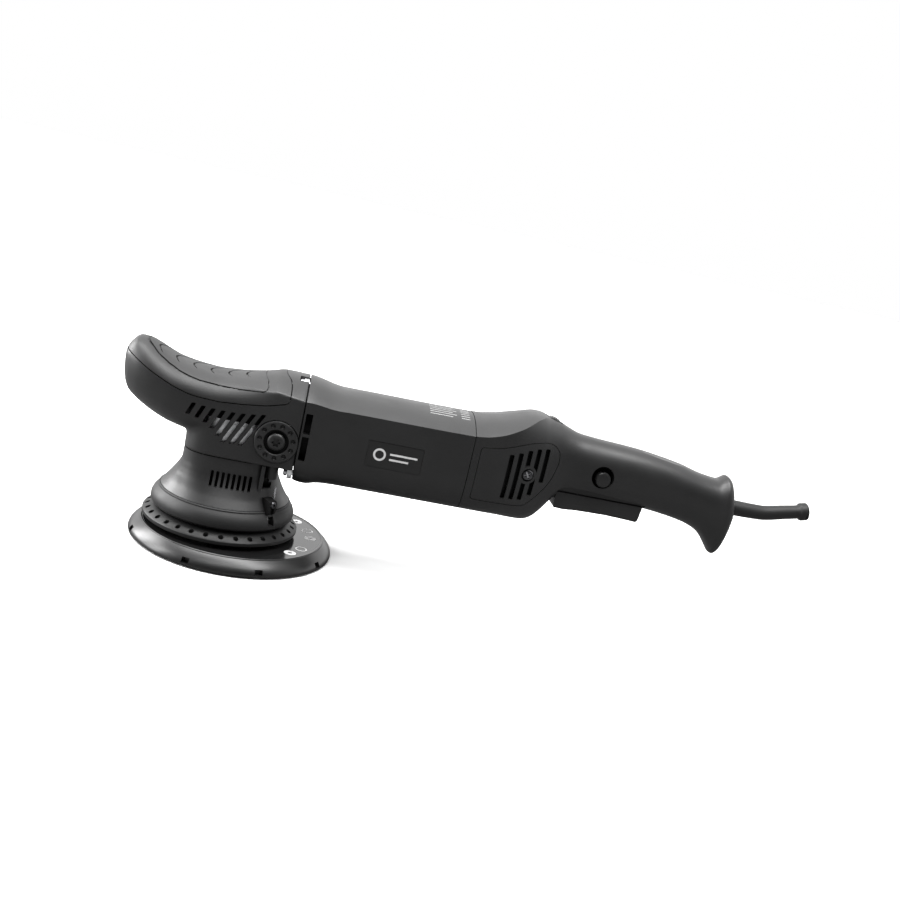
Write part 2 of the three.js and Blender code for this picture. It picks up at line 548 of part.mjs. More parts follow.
const BRUSH = { x0: 148, x1: 154, z0: 96, z1: 102 };
const brush = () => box(BRUSH.x0, BRUSH.x1, 11.4, 22, BRUSH.z0, BRUSH.z1);
const brushHolder = () => cut(
  box(BRUSH.x0 - 2, BRUSH.x1 + 2, 13.5, 30, BRUSH.z0 - 2, BRUSH.z1 + 2),
  box(BRUSH.x0 - GAP, BRUSH.x1 + GAP, 12, 28, BRUSH.z0 - GAP, BRUSH.z1 + GAP));
for (const [side, place] of [["right", (made) => made], ["left", (made) => made.mirror([0, 1, 0])]]) {
  add("carbon_brush_" + side, "carbon", place(brush()));
  add("brush_holder_" + side, "copper", place(brushHolder()));
}

// ---- Handle shells, split at the middle, and their covers ---------------------------------------
const HANDLE_STATIONS = [REAR_SEAM_X + 0.15, 190, 202, 212, 221, 226, 230, 236, 242, 250, 310, 330,
  350, 362, 371, 376.5, 379, 382.4, HANDLE_END_X];
const HOLLOW_STATIONS = [REAR_SEAM_X - 3, 202, 212, 221, 230, 242, 250, 310, 350, 364, 377];

// The brush and vent cover's outline on the side of the rear housing.
const coverOutline = (grow) => [[175.6 - grow, 76.2 - grow], [199.6, 75 - grow],
  [216.5, 74.2 - grow], [220.4 + grow, 77.1 - grow], [232.1 + grow, 91.7 - grow],
  [236.8 + grow, 105.4], [238 + grow, 113], [236.4 + grow, 119.7 + grow],
  [231.7, 124 + grow], [225, 125.3 + grow], [205, 121.5 + grow], [192.1, 117.5 + grow],
  [175.6 - grow, 115.8 + grow]];
const COVER_SLOTS = [[79.5, 113.8], [79.2, 115.8], [79.3, 118.4], [83.5, 120.1], [94.3, 120.7]];
const BRUSH_SCREW = { x: 215.3, z: 99.5, seatY: 25.8 };

const triggerWell = () => join(
  box(TRIGGER_WELL.x0, TRIGGER_WELL.x1, -30, 30, 50, 89.6),
  box(TRIGGER_WELL.x0, TRIGGER_WELL.x1, -TRIGGER_WELL.half, TRIGGER_WELL.half, 70, 98));

// A cylinder along Y on one side of the middle plane, between two distances from it.
const rodOut = (side, radius, near, far, x, z, sides) => (side < 0
  ? rodY(radius, -far, -near, x, z, sides) : rodY(radius, near, far, x, z, sides));

function handleShells() {
  const outside = loft(handle, HANDLE_STATIONS, 0, 20);
  const hollow = loft(handle, HOLLOW_STATIONS, WALL, 14);
  const skin = cut(outside, hollow);
  const bulkhead = box(TRIGGER_WELL.x0 - WALL, TRIGGER_WELL.x0 + 1, -22, 22, 70, 98)
    .intersect(outside);
  const dialSlot = box(DIAL.x - 11.5, DIAL.x + 12, -DIAL.half - 0.8, DIAL.half + 0.8, 124, 146);
  const sleeveHole = rodX(6.9, 370, 392, 0, 98.4, 16);
  const bare = cut(join(skin, bulkhead), triggerWell(), dialSlot, sleeveHole);
  const { x: screwX, z: screwZ, seatY } = BRUSH_SCREW;
  const half = (side) => {
    const halfSpace = side < 0 ? box(160, 400, -60, -GAP / 2, 40, 160)
      : box(160, 400, GAP / 2, 60, 40, 160);
    const [near, far] = side < 0 ? [-60, -8] : [8, 60];
    const shell = cut(bare.intersect(halfSpace), plateY(coverOutline(GAP), near, far));
    const slots = COVER_SLOTS.map(([low, high], i) =>
      box(198 + 6.95 * i, 200.8 + 6.95 * i, near, far, low, high));
    const boss = rodOut(side, 6, seatY - 4, 60, screwX, screwZ, 16).intersect(outside);
    const plate = skin.intersect(plateY(coverOutline(0), near, far));
    const cover = cut(join(cut(plate, ...slots), boss),
      rodOut(side, 2.2, 8, 60, screwX, screwZ, 12), rodOut(side, 4.2, seatY, 60, screwX, screwZ, 16));
    return { shell, cover };
  };
  return { left: half(-1), right: half(1) };
}

const { left: leftSide, right: rightSide } = handleShells();
const lockHole = rodY(LOCK_RADIUS + 0.5, -30, -5, LOCK_X, LOCK_Z, 20);
add("handle_shell_left", "plastic", cut(leftSide.shell, lockHole));
add("handle_shell_right", "plastic", rightSide.shell);
add("brush_cover_left", "plastic", leftSide.cover);
add("brush_cover_right", "plastic", rightSide.cover);

const coverScrew = () => join(
  rodY(3.6, BRUSH_SCREW.seatY + GAP, 28.3, BRUSH_SCREW.x, BRUSH_SCREW.z, 12),
  rodY(1.8, 16, 27, BRUSH_SCREW.x, BRUSH_SCREW.z, 8));
add("brush_cover_screw_right", "steel", coverScrew());
add("brush_cover_screw_left", "steel", coverScrew().mirror([0, 1, 0]));

// ---- Trigger, switch, lock button, speed dial ----------------------------------------------------
function trigger() {
  const paddle = plateY([[244, 90], [244, 80], [245.4, 76], [252, 74.2], [264, 75.4], [285, 75.9],
    [300, 75.5], [309, 75.1], [311.6, 78], [312.6, 86.5], [311, 89], [309, 95.6], [254, 96],
    [246.5, 94.5]], -TRIGGER_HALF, TRIGGER_HALF);
  const inside = plateY([[254, 80], [305, 80], [305, 93.6], [254, 93.6]],
    -TRIGGER_HALF + 2.5, TRIGGER_HALF - 2.5);
  const mouth = box(256, 266, -TRIGGER_HALF + 2.5, TRIGGER_HALF - 2.5, 90, 99);
  return cut(join(paddle, rodY(2.6, -11.8, 11.8, TRIGGER_PIVOT.x, TRIGGER_PIVOT.z, 14)),
    inside, mouth);
}

function switchBody() {
  const shaftHole = box(PLUNGER_X - 3.4, PLUNGER_X + 3.4, -3.4, 3.4, 102, 113);
  return cut(box(262, 308, -10.5, 10.5, 105.5, 117), shaftHole,
    box(262, LOCK_X + 7, -12, -7.5, 97, 112));
}

add("trigger", "plastic", trigger());
add("switch_plunger", "plastic", box(PLUNGER_X - 3, PLUNGER_X + 3, -3, 3, 96.6, 108.5));
add("switch_body", "carbon", switchBody());
add("lock_button", "plastic", join(
  rodY(LOCK_RADIUS, -20.2, -15, LOCK_X, LOCK_Z, 20),
  rodY(3, -15.5, -12, LOCK_X, LOCK_Z, 12),
));
add("speed_dial", "plastic", cut(
  rodY(DIAL.radius, -DIAL.half, DIAL.half, DIAL.x, DIAL.z, 24),
  rodY(2, -DIAL.half - 1, DIAL.half + 1, DIAL.x, DIAL.z, 12),
));
add("speed_control_board", "board", join(
  box(180, 216, -1, 1, 84, 116),
  box(184, 200, 0.8, 9, 88, 104),
  box(204, 212, -8, -0.8, 92, 100),
));

// ---- Cable sleeve and clamp --------------------------------------------------------------------------
const SLEEVE_ROUTE = [[372.8, 98.4], [377, 98.4], [394, 98.4], [411, 98.4], [419, 99.8],
  [427, 102], [441, 104.9], [448.5, 106.6]];
const SLEEVE_RADII = [[372.8, 8.4], [376.2, 8.4], [376.8, 6.4], [390, 6], [427, 5.6], [440, 5.4],
  [442.2, 5.6], [443.2, 7], [448.5, 7]];

// The sleeve is a run of round sections square to its gently rising route.
function sleeve(radiusAt, stations) {
  const height = (x) => along(SLEEVE_ROUTE, x);
  const rings = stations.map((x) => {
    const tilt = Math.atan2(height(x + 2) - height(x - 2), 4);
    const radius = radiusAt(x);
    return times(12, (i) => {
      const angle = (2 * Math.PI * i) / 12;
      const rise = radius * Math.sin(angle);
      return new THREE.Vector3(x - rise * Math.sin(tilt), radius * Math.cos(angle),
        height(x) + rise * Math.cos(tilt));
    });
  });
  return solid(new LoftGeometry(rings, { capStart: true, capEnd: true }));
}

add("cable_sleeve", "rubber", cut(
  sleeve((x) => along(SLEEVE_RADII, x), [372.8, 376.2, 376.8, 394, 411, 419, 427, 436, 442.2,
    443.2, 448.5]),
  sleeve(() => SLEEVE_BORE, [370, 394, 411, 419, 427, 436, 442.5, 452]),
));
add("cord_clamp", "plastic", cut(
  box(350, 360, -10, 10, 98, 107),
  rodX(4.4, 348, 362, 0, 98.4, 14),
));

export default group;
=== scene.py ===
import json
import math

import bmesh
import bpy
import numpy as np
from mathutils import Matrix, Vector


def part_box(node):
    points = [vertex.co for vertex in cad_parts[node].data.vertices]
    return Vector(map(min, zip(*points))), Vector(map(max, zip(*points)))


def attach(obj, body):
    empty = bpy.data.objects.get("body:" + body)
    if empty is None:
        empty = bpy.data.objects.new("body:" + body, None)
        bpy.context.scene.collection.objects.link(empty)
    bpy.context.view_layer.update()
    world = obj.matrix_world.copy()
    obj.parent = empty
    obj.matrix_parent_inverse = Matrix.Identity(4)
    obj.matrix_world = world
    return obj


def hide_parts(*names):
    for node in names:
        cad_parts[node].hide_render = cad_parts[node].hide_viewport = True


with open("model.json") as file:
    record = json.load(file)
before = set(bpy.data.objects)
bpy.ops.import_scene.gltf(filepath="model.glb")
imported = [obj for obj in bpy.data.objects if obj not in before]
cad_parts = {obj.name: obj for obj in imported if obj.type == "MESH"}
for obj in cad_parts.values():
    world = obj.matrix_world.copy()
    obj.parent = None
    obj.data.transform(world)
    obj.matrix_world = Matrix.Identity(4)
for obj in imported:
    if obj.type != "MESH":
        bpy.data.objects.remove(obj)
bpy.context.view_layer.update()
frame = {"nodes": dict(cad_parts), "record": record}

# Every shape below is worked out in millimetres, in the frame of the CAD, and made in metres.
MM = 0.001

# ---- Places that come from the frame ----


def node_box(node):
    """A CAD node's lowest and highest corners, in millimetres."""
    return [np.array(corner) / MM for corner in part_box(node)]


def node_centre(node):
    low, high = node_box(node)
    return (low + high) / 2


PLATE_X = float(node_centre("backing_plate")[0])
PLATE_RADIUS = float(node_box("backing_plate")[1][1])
NOSE_X = float(node_box("head_shell")[0][0])
FRONT_SEAM_X = float(node_box("motor_housing")[0][0])
REAR_SEAM_X = float(node_box("motor_housing")[1][0])
HANDLE_END_X = float(node_box("handle_shell_left")[1][0])
SHROUD_TOP_Z = float(node_box("shroud")[1][2])
SHROUD_FOOT_Z = float(node_box("shroud")[0][2])
VENT_RING_RADIUS = float(node_box("vent_ring")[1][0])
VENT_RING_Z = float(node_box("vent_ring")[0][2])
MOTOR_Z = float(node_centre("armature_shaft")[2])
CAP_X, _, CAP_Z = (float(v) for v in node_centre("side_cap_left"))
LOCK_X, _, LOCK_Z = (float(v) for v in node_centre("lock_button"))
COVER_SCREW_X, _, COVER_SCREW_Z = (float(v) for v in node_centre("brush_cover_screw_left"))
DIAL_X, _, DIAL_Z = (float(v) for v in node_centre("speed_dial"))
WALL = 3.0
SEAM = 0.25  # half of the gap that shows between two shells
COVER_GAP = 0.75
PAD_GAP = 0.8
NECK_GAP = 0.6
CLAMP_ANGLE = -44
SHROUD_SCREW_X, SHROUD_SCREW_Y = 31, 22

# ---- Camera, light and floor ----


VIEW_DEGREES = (8.67, 13.2, 13.0)  # azimuth, elevation and roll
CAMERA_PLACE = (36.9, -799.3, 290.1)
LENS_LENGTH = 43.97


def make_camera():
    azimuth, elevation, roll = (math.radians(a) for a in VIEW_DEGREES)
    look = Vector((
        math.sin(azimuth) * math.cos(elevation),
        math.cos(azimuth) * math.cos(elevation),
        -math.sin(elevation),
    ))
    level = Vector((math.cos(azimuth), -math.sin(azimuth), 0))
    raised = level.cross(look)
    right = level * math.cos(roll) + raised * math.sin(roll)
    up = raised * math.cos(roll) - level * math.sin(roll)
    data = bpy.data.cameras.new("camera")
    data.lens = LENS_LENGTH
    data.sensor_width = 36
    camera = bpy.data.objects.new("camera", data)
    bpy.context.collection.objects.link(camera)
    turn = Matrix((right, up, -look)).transposed().to_4x4()
    camera.matrix_world = Matrix.Translation(Vector(CAMERA_PLACE) * MM) @ turn
    bpy.context.scene.camera = camera


def make_world():
    """A white studio that is dim on the side the camera stands on, and plain white where it is seen."""
    bpy.context.scene.view_settings.view_transform = "Standard"
    world = bpy.data.worlds.new("studio")
    world.use_nodes = True
    bpy.context.scene.world = world
    nodes, links = world.node_tree.nodes, world.node_tree.links
    nodes.clear()
    place = nodes.new("ShaderNodeTexCoord")
    split = nodes.new("ShaderNodeSeparateXYZ")
    links.new(place.outputs["Generated"], split.inputs[0])
    lift = nodes.new("ShaderNodeMath")
    lift.operation = "MULTIPLY_ADD"
    lift.inputs[1].default_value = 0.5
    lift.inputs[2].default_value = 0.5
    links.new(split.outputs["Y"], lift.inputs[0])
    ramp = nodes.new("ShaderNodeValToRGB")
    links.new(lift.outputs[0], ramp.inputs[0])
    dim, bright = ramp.color_ramp.elements
    dim.position, dim.color = 0.12, (0.03, 0.03, 0.03, 1)
    bright.position, bright.color = 0.6, (1, 1, 1, 1)
    room = nodes.new("ShaderNodeBackground")
    room.inputs["Strength"].default_value = 1.6
    links.new(ramp.outputs[0], room.inputs["Color"])
    seen = nodes.new("ShaderNodeBackground")
    seen.inputs["Color"].default_value = (1, 1, 1, 1)
    path = nodes.new("ShaderNodeLightPath")
    pick = nodes.new("ShaderNodeMixShader")
    links.new(path.outputs["Is Camera Ray"], pick.inputs[0])
    links.new(room.outputs[0], pick.inputs[1])
    links.new(seen.outputs[0], pick.inputs[2])
    out = nodes.new("ShaderNodeOutputWorld")
    links.new(pick.outputs[0], out.inputs["Surface"])


def add_area(name, place, target, size, power):
    data = bpy.data.lights.new(name, "AREA")
    data.shape = "RECTANGLE"
    data.size, data.size_y = size
    data.energy = power
    light = bpy.data.objects.new(name, data)
    bpy.context.collection.objects.link(light)
    light.location = place
    aim = Vector(target) - Vector(place)
    light.rotation_mode = "QUATERNION"
    light.rotation_quaternion = aim.to_track_quat("-Z", "Y")


def make_floor():
    """A pale floor that throws back only a little light, as if the object stood on a far white sweep."""
    mesh = bpy.data.meshes.new("floor")
    mesh.from_pydata([(-9, -9, 0), (9, -9, 0), (9, 9, 0), (-9, 9, 0)], [], [(0, 1, 2, 3)])
    floor = bpy.data.objects.new("floor", mesh)
    bpy.context.collection.objects.link(floor)
    floor.location.z = -0.0006
    pale = bpy.data.materials.new("pale_floor")
    pale.use_nodes = True
    nodes, links = pale.node_tree.nodes, pale.node_tree.links
    seen = nodes["Principled BSDF"]
    seen.inputs["Base Color"].default_value = (0.98, 0.98, 0.98, 1)
    seen.inputs["Roughness"].default_value = 0.7
    seen.inputs["Specular IOR Level"].default_value = 0.1
    bounce = nodes.new("ShaderNodeBsdfDiffuse")
    bounce.inputs["Color"].default_value = (0.16, 0.16, 0.16, 1)
    pick = nodes.new("ShaderNodeMixShader")
    links.new(nodes.new("ShaderNodeLightPath").outputs["Is Camera Ray"], pick.inputs[0])
    links.new(bounce.outputs[0], pick.inputs[1])
    links.new(seen.outputs[0], pick.inputs[2])
    links.new(pick.outputs[0], nodes["Material Output"].inputs["Surface"])
    mesh.materials.append(pale)


make_camera()
make_world()
add_area("overhead", (0.1, -0.1, 1.2), (0.15, 0, 0.1), (1.5, 0.35), 24)
add_area("left_card", (-1.2, -0.12, 0.5), (0, 0, 0.09), (0.35, 0.9), 13)
add_area("left_edge", (-1, 0.45, 0.5), (0, 0, 0.1), (0.4, 0.8), 18)
add_area("side_strip", (0.2, -0.55, 1.05), (0.2, 0, 0.1), (1.3, 0.15), 5)
make_floor()

# ---- Materials ----


class Finish:
    """A node material in the making, with its Principled shader and its object coordinates."""

    def __init__(self, name, colour, roughness, metallic=0.0, specular=0.5):
        self.material = bpy.data.materials.new(name)
        self.material.use_nodes = True
        self.nodes = self.material.node_tree.nodes
        self.links = self.material.node_tree.links
        self.shader = self.nodes["Principled BSDF"]
        self.shader.inputs["Base Color"].default_value = (*colour, 1)
        self.shader.inputs["Roughness"].default_value = roughness
        self.shader.inputs["Metallic"].default_value = metallic
        self.shader.inputs["Specular IOR Level"].default_value = specular
        self.place = self.nodes.new("ShaderNodeTexCoord").outputs["Object"]

    def stretched(self, scale):
        mapping = self.nodes.new("ShaderNodeMapping")
        mapping.inputs["Scale"].default_value = scale
        self.links.new(self.place, mapping.inputs["Vector"])
        return mapping.outputs[0]

    def noise(self, scale, detail=2.0, vector=None):
        node = self.nodes.new("ShaderNodeTexNoise")
        node.inputs["Scale"].default_value = scale
        node.inputs["Detail"].default_value = detail
        self.links.new(vector or self.place, node.inputs["Vector"])
        return node.outputs["Fac"]

    def pattern(self, kind, scale):
        """A wave or cell texture node in object coordinates."""
        node = self.nodes.new("ShaderNodeTex" + kind)
        node.inputs["Scale"].default_value = scale
        self.links.new(self.place, node.inputs["Vector"])
        return node

    def between(self, value, low, high):
        node = self.nodes.new("ShaderNodeMapRange")
        node.inputs["From Min"].default_value = 0.3
        node.inputs["From Max"].default_value = 0.7
        node.inputs["To Min"].default_value = low
        node.inputs["To Max"].default_value = high
        self.links.new(value, node.inputs["Value"])
        return node.outputs[0]

    def shade(self, value, dark, light):
        """The base colour runs from dark to light with a pattern."""
        node = self.nodes.new("ShaderNodeValToRGB")
        node.color_ramp.elements[0].position = 0.3
        node.color_ramp.elements[0].color = (*dark, 1)
        node.color_ramp.elements[1].position = 0.7
        node.color_ramp.elements[1].color = (*light, 1)
        self.links.new(value, node.inputs[0])
        self.links.new(node.outputs[0], self.shader.inputs["Base Color"])

    def rough(self, value, low, high):
        self.links.new(self.between(value, low, high), self.shader.inputs["Roughness"])

    def bump(self, value, depth, strength=1.0):
        """Adds relief of that depth in metres on top of any relief already there."""
        node = self.nodes.new("ShaderNodeBump")
        node.inputs["Strength"].default_value = strength
        node.inputs["Distance"].default_value = depth
        self.links.new(value, node.inputs["Height"])
        socket = self.shader.inputs["Normal"]
        if socket.links:
            self.links.new(socket.links[0].from_socket, node.inputs["Normal"])
        self.links.new(node.outputs[0], socket)


def tinted(colour, factor):
    return tuple(min(c * factor, 1) for c in colour)


def moulded(name, grey, roughness, grain=1600, depth=0.00004, specular=0.5, mottle=0.18):
    """Moulded plastic or rubber: a fine spark-eroded grain, and a faint unevenness of tone and gloss."""
    colour = (grey, grey, grey * 1.02)
    made = Finish(name, colour, roughness, specular=specular)
    broad = made.noise(28, 3)
    made.shade(broad, tinted(colour, 1 - mottle), tinted(colour, 1 + mottle))
    made.rough(made.noise(60, 4), roughness * 0.9, min(roughness * 1.1, 1))
    made.bump(made.noise(grain, 2), depth, 0.6)
    return made.material


def metal(name, colour, roughness, streak=(1, 1, 1), scale=900, depth=0.00002):
    """Metal with streaks left by turning or casting, stretched by the scale of streak."""
    made = Finish(name, colour, roughness, metallic=1)
    lines = made.noise(scale, 4, made.stretched(streak))
    made.shade(made.noise(45, 4), tinted(colour, 0.82), tinted(colour, 1.1))
    made.rough(lines, roughness * 0.75, min(roughness * 1.3, 1))
    made.bump(lines, depth, 0.5)
    return made.material


def laminated():
    made = Finish("laminated_steel", (0.16, 0.16, 0.17), 0.45, metallic=0.9)
    wave = made.pattern("Wave", 320)
    wave.bands_direction = "X"
    made.shade(wave.outputs["Fac"], (0.08, 0.08, 0.085), (0.24, 0.24, 0.25))
    made.bump(wave.outputs["Fac"], 0.0001, 0.5)
    return made.material


def wound_copper():
    made = Finish("wound_copper", (0.42, 0.16, 0.06), 0.3, metallic=0.9)
    wave = made.pattern("Wave", 260)
    wave.inputs["Distortion"].default_value = 1.5
    made.shade(wave.outputs["Fac"], (0.2, 0.07, 0.03), (0.55, 0.24, 0.1))
    made.bump(wave.outputs["Fac"], 0.0003, 0.7)
    return made.material


def hook_fabric():
    made = Finish("hook_fabric", (0.03, 0.03, 0.032), 0.9, specular=0.2)
    made.shader.inputs["Sheen Weight"].default_value = 0.3
    cells = made.pattern("Voronoi", 900)
    made.shade(cells.outputs["Distance"], (0.05, 0.05, 0.052), (0.012, 0.012, 0.013))
    made.bump(cells.outputs["Distance"], 0.0006, 0.8)
    return made.material


def circuit_green():
    made = Finish("circuit_green", (0.02, 0.12, 0.05), 0.4)
    cells = made.pattern("Voronoi", 260)
    cells.distance = "MANHATTAN"
    made.shade(cells.outputs["Distance"], (0.015, 0.08, 0.035), (0.05, 0.2, 0.08))
    made.bump(cells.outputs["Distance"], 0.0001, 0.4)
    return made.material


def printed(name, grey):
    """Pale screen print, a little uneven in its ink."""
    made = Finish(name, (grey, grey, grey), 0.5)
    made.shade(made.noise(500, 4), (grey * 0.86,) * 3, (grey,) * 3)
    made.bump(made.noise(2200, 2), 0.00001, 0.4)
    return made.material


PLASTIC = moulded("satin_black_plastic", 0.0135, 0.42)
SOFT_GRIP = moulded("soft_grip", 0.013, 0.5, grain=2200, depth=0.00003)
DULL_PLASTIC = moulded("dull_black_plastic", 0.008, 0.5, specular=0.3)
PAD_RUBBER = moulded("grip_pad_rubber", 0.015, 0.55, grain=1300, depth=0.00006)
RUBBER = moulded("black_rubber", 0.01, 0.55, grain=1800, depth=0.00003, specular=0.4)
GLOSS = moulded("gloss_black_plastic", 0.009, 0.32, grain=900, depth=0.00001)
POLISHED = moulded("polished_black_plastic", 0.008, 0.12, grain=900, depth=0.000005)
CONTROL = moulded("control_plastic", 0.012, 0.38, grain=2400, depth=0.00002)
# Dark plastic of the clamp, the sleeve's lip and inner parts; it is also painted shade in the side caps'
# grooves, close behind slots, in the head-to-motor seam and on the gear case's cap.
DARK_PLASTIC_AND_PAINTED_SHADE = moulded("dark_plastic_and_painted_shade", 0.006, 0.7, specular=0.2)
CARBON = moulded("pressed_carbon", 0.02, 0.75, grain=1200)
ALUMINIUM = metal("cast_aluminium", (0.82, 0.83, 0.84), 0.4, scale=420, depth=0.00008)
STEEL = metal("turned_steel", (0.5, 0.5, 0.52), 0.26, (1, 1, 12))
DARK_STEEL = metal("blackened_steel", (0.1, 0.1, 0.105), 0.32, (1, 1, 6))
LAMINATED = laminated()
COPPER = wound_copper()
HOOK = hook_fabric()
CIRCUIT = circuit_green()
PRINT = printed("pale_print", 0.78)
DIM_PRINT = printed("dim_print", 0.3)

# ---- Mesh tools ----


HEXAGON = [(math.cos(a), math.sin(a)) for a in np.arange(6) * math.pi / 3]


def hexagon(radius, middle_a, middle_b):
    return [(middle_a + radius * c, middle_b + radius * s) for c, s in HEXAGON]


def rectangle(a0, a1, b0, b1, radius, steps):
    """A rectangle's outline with rounded corners."""
    return rounded([(a0, b0), (a1, b0), (a1, b1), (a0, b1)], radius, steps)


def link(name, mesh):
    obj = bpy.data.objects.new(name, mesh)
    bpy.context.collection.objects.link(obj)
    return obj


def as_object(name, vertices, faces):
    mesh = bpy.data.meshes.new(name)
    mesh.from_pydata((np.asarray(vertices, float) * MM).tolist(), [], faces)
    edit = bmesh.new()
    edit.from_mesh(mesh)
    bmesh.ops.recalc_face_normals(edit, faces=edit.faces)
    edit.to_mesh(mesh)
    edit.free()
    return link(name, mesh)


def ring_solid(name, rings, closed=False):
    """A skin over rings of points. Its ends are capped, or it closes on itself."""
    rings = np.asarray(rings, float)
    count, size = rings.shape[:2]
    faces = []
    for i in range(count if closed else count - 1):
        a, b = i * size, (i + 1) % count * size
        for j in range(size):
            k = (j + 1) % size
            faces.append((a + j, a + k, b + k, b + j))
    if not closed:
        faces.append(tuple(range(size)))
        faces.append(tuple((count - 1) * size + j for j in range(size)))
    return as_object(name, rings.reshape(-1, 3), faces)


def turned(name, profile, x=0.0, y=0.0, sides=96, hollow=False):
    """A round body about Z, from [radius, z] points: capped at both ends, or a ring if hollow."""
    angles = np.linspace(0, 2 * math.pi, sides, endpoint=False)
    if hollow:
        rings = [[(x + r * math.cos(a), y + r * math.sin(a), z) for r, z in profile] for a in angles]
        return ring_solid(name, rings, closed=True)
    rings = [[(x + r * math.cos(a), y + r * math.sin(a), z) for a in angles] for r, z in profile]
    return ring_solid(name, rings)


def turned_y(name, profile, x, z, sides=64, side=1):
    """A round body about Y, from [radius, distance from the middle plane] points."""
    angles = np.linspace(0, 2 * math.pi, sides, endpoint=False)
    rings = [[(x + r * math.cos(a), side * y, z + r * math.sin(a)) for a in angles] for r, y in profile]
    return ring_solid(name, rings)


def turned_x(name, profile, y, z, sides=48):
    """A round body about X, from [radius, x] points."""
    angles = np.linspace(0, 2 * math.pi, sides, endpoint=False)
    rings = [[(x, y + r * math.cos(a), z + r * math.sin(a)) for a in angles] for r, x in profile]
    return ring_solid(name, rings)


AXES = {"x": (1, 2, 0), "y": (0, 2, 1), "z": (0, 1, 2)}


def prism(name, outline, axis, low, high):
    """An outline given in the two other axes, in order, carried along one axis."""
    a, b, c = AXES[axis]
    rings = np.zeros((2, len(outline), 3))
    for ring, level in zip(rings, (low, high)):
        ring[:, a] = [p[0] for p in outline]
        ring[:, b] = [p[1] for p in outline]
        ring[:, c] = level
    return ring_solid(name, rings)


def block(name, x0, x1, y0, y1, z0, z1):
    return prism(name, [(x0, y0), (x1, y0), (x1, y1), (x0, y1)], "z", z0, z1)


def remove(obj):
    mesh = obj.data
    bpy.data.objects.remove(obj)
    bpy.data.meshes.remove(mesh)


def applied(obj):
    """Bakes an object's modifiers into its mesh."""
    graph = bpy.context.evaluated_depsgraph_get()
    made = bpy.data.meshes.new_from_object(obj.evaluated_get(graph))
    obj.modifiers.clear()
    old = obj.data
    obj.data = made
    bpy.data.meshes.remove(old)
    return obj


def combine(base, other, operation, keep=False):
    modifier = base.modifiers.new("combine", "BOOLEAN")
    modifier.operation = operation
    modifier.solver = "MANIFOLD"
    modifier.object = other
    before = len(base.data.vertices)
    applied(base)
    if not base.data.vertices:
        raise RuntimeError(f"{operation} of {base.name} ({before} points) with {other.name} is empty")
    if not keep:
        remove(other)
    return base


def cut(base, *tools):
    for tool in tools:
        combine(base, tool, "DIFFERENCE")
    return base


def fuse(base, *others):
    for other in others:
        combine(base, other, "UNION")
    return base


def common(base, tool, keep=False):
    return combine(base, tool, "INTERSECT", keep)


def copy_of(obj, name):
    return link(name, obj.data.copy())


def mirrored(obj, name):
    """A copy of a piece on the other side of the middle plane."""
    other = copy_of(obj, name)
    other.data.transform(Matrix.Scale(-1, 4, (0, 1, 0)))
    other.data.flip_normals()
    return other


def turn_about_z(obj, degrees, x=0.0):
    centre = Matrix.Translation((x * MM, 0, 0))
    obj.data.transform(centre @ Matrix.Rotation(math.radians(degrees), 4, "Z") @ centre.inverted())
    return obj


def rounded(points, radius, steps=6):
    """An outline with each corner taken round by an arc-like curve of about that radius."""
    made = []
    count = len(points)
    for i, point in enumerate(points):
        here = np.array(point, float)
        before = np.array(points[i - 1], float) - here
        after = np.array(points[(i + 1) % count], float) - here
        reach = min(radius, np.linalg.norm(before) * 0.48, np.linalg.norm(after) * 0.48)
        start = here + before / np.linalg.norm(before) * reach
        end = here + after / np.linalg.norm(after) * reach
        for t in np.linspace(0, 1, steps):
            made.append(tuple((1 - t) ** 2 * start + 2 * t * (1 - t) * here + t**2 * end))
    return made


def smooth_line(points):
    """A function of x through [x, value] points: a cubic that doesn't overshoot."""
    xs, ys = np.array(points, float).T
    step = np.diff(xs)
    slope = np.diff(ys) / step
    tangent = np.zeros_like(ys)
    tangent[0], tangent[-1] = slope[0], slope[-1]
    for i in range(1, len(xs) - 1):
        if slope[i - 1] * slope[i] > 0:
            w1, w2 = 2 * step[i] + step[i - 1], step[i] + 2 * step[i - 1]
            tangent[i] = (w1 + w2) / (w1 / slope[i - 1] + w2 / slope[i])

    def value(x):
        x = min(max(x, xs[0]), xs[-1])
        i = min(int(np.searchsorted(xs, x, "right")) - 1, len(step) - 1)
        t = (x - xs[i]) / step[i]
        h = step[i]
        return (
            (1 + 2 * t) * (1 - t) ** 2 * ys[i]
            + t * (1 - t) ** 2 * h * tangent[i]
            + t * t * (3 - 2 * t) * ys[i + 1]
            + t * t * (t - 1) * h * tangent[i + 1]
        )

    return value


def evenly(points, count):
    """A closed ring of points spaced evenly along its length."""
    ring = np.vstack([points, points[:1]])
    length = np.concatenate([[0], np.cumsum(np.linalg.norm(np.diff(ring, axis=0), axis=1))])
    at = np.linspace(0, length[-1], count, endpoint=False)
    return np.column_stack([np.interp(at, length, ring[:, i]) for i in range(ring.shape[1])])


SHARP_DEGREES = 32


def finished(obj, material, body="root", node=None):
    """Shades a piece and gives it its material, body and slot. With a node it stands for that CAD node."""
    obj.data.materials.clear()
    obj.data.materials.append(material)
    obj.data.polygons.foreach_set("material_index", [0] * len(obj.data.polygons))
    obj.data.polygons.foreach_set("use_smooth", [True] * len(obj.data.polygons))
    obj.data.set_sharp_from_angle(angle=math.radians(SHARP_DEGREES))
    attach(obj, body)
    if node:
        obj.name = "fine_" + node
        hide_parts(node)
    return obj


def also(obj, material, chosen):
    """Gives a second material to the faces whose middle, in millimetres, and upward slope are chosen."""
    obj.data.materials.append(material)
    for face in obj.data.polygons:
        x, y, z = face.center / MM
        if chosen(x, y, z, face.normal.z):
            face.material_index = 1


# ---- The long shells: ovals across X, some with a crowned top that cuts them to a crease ----


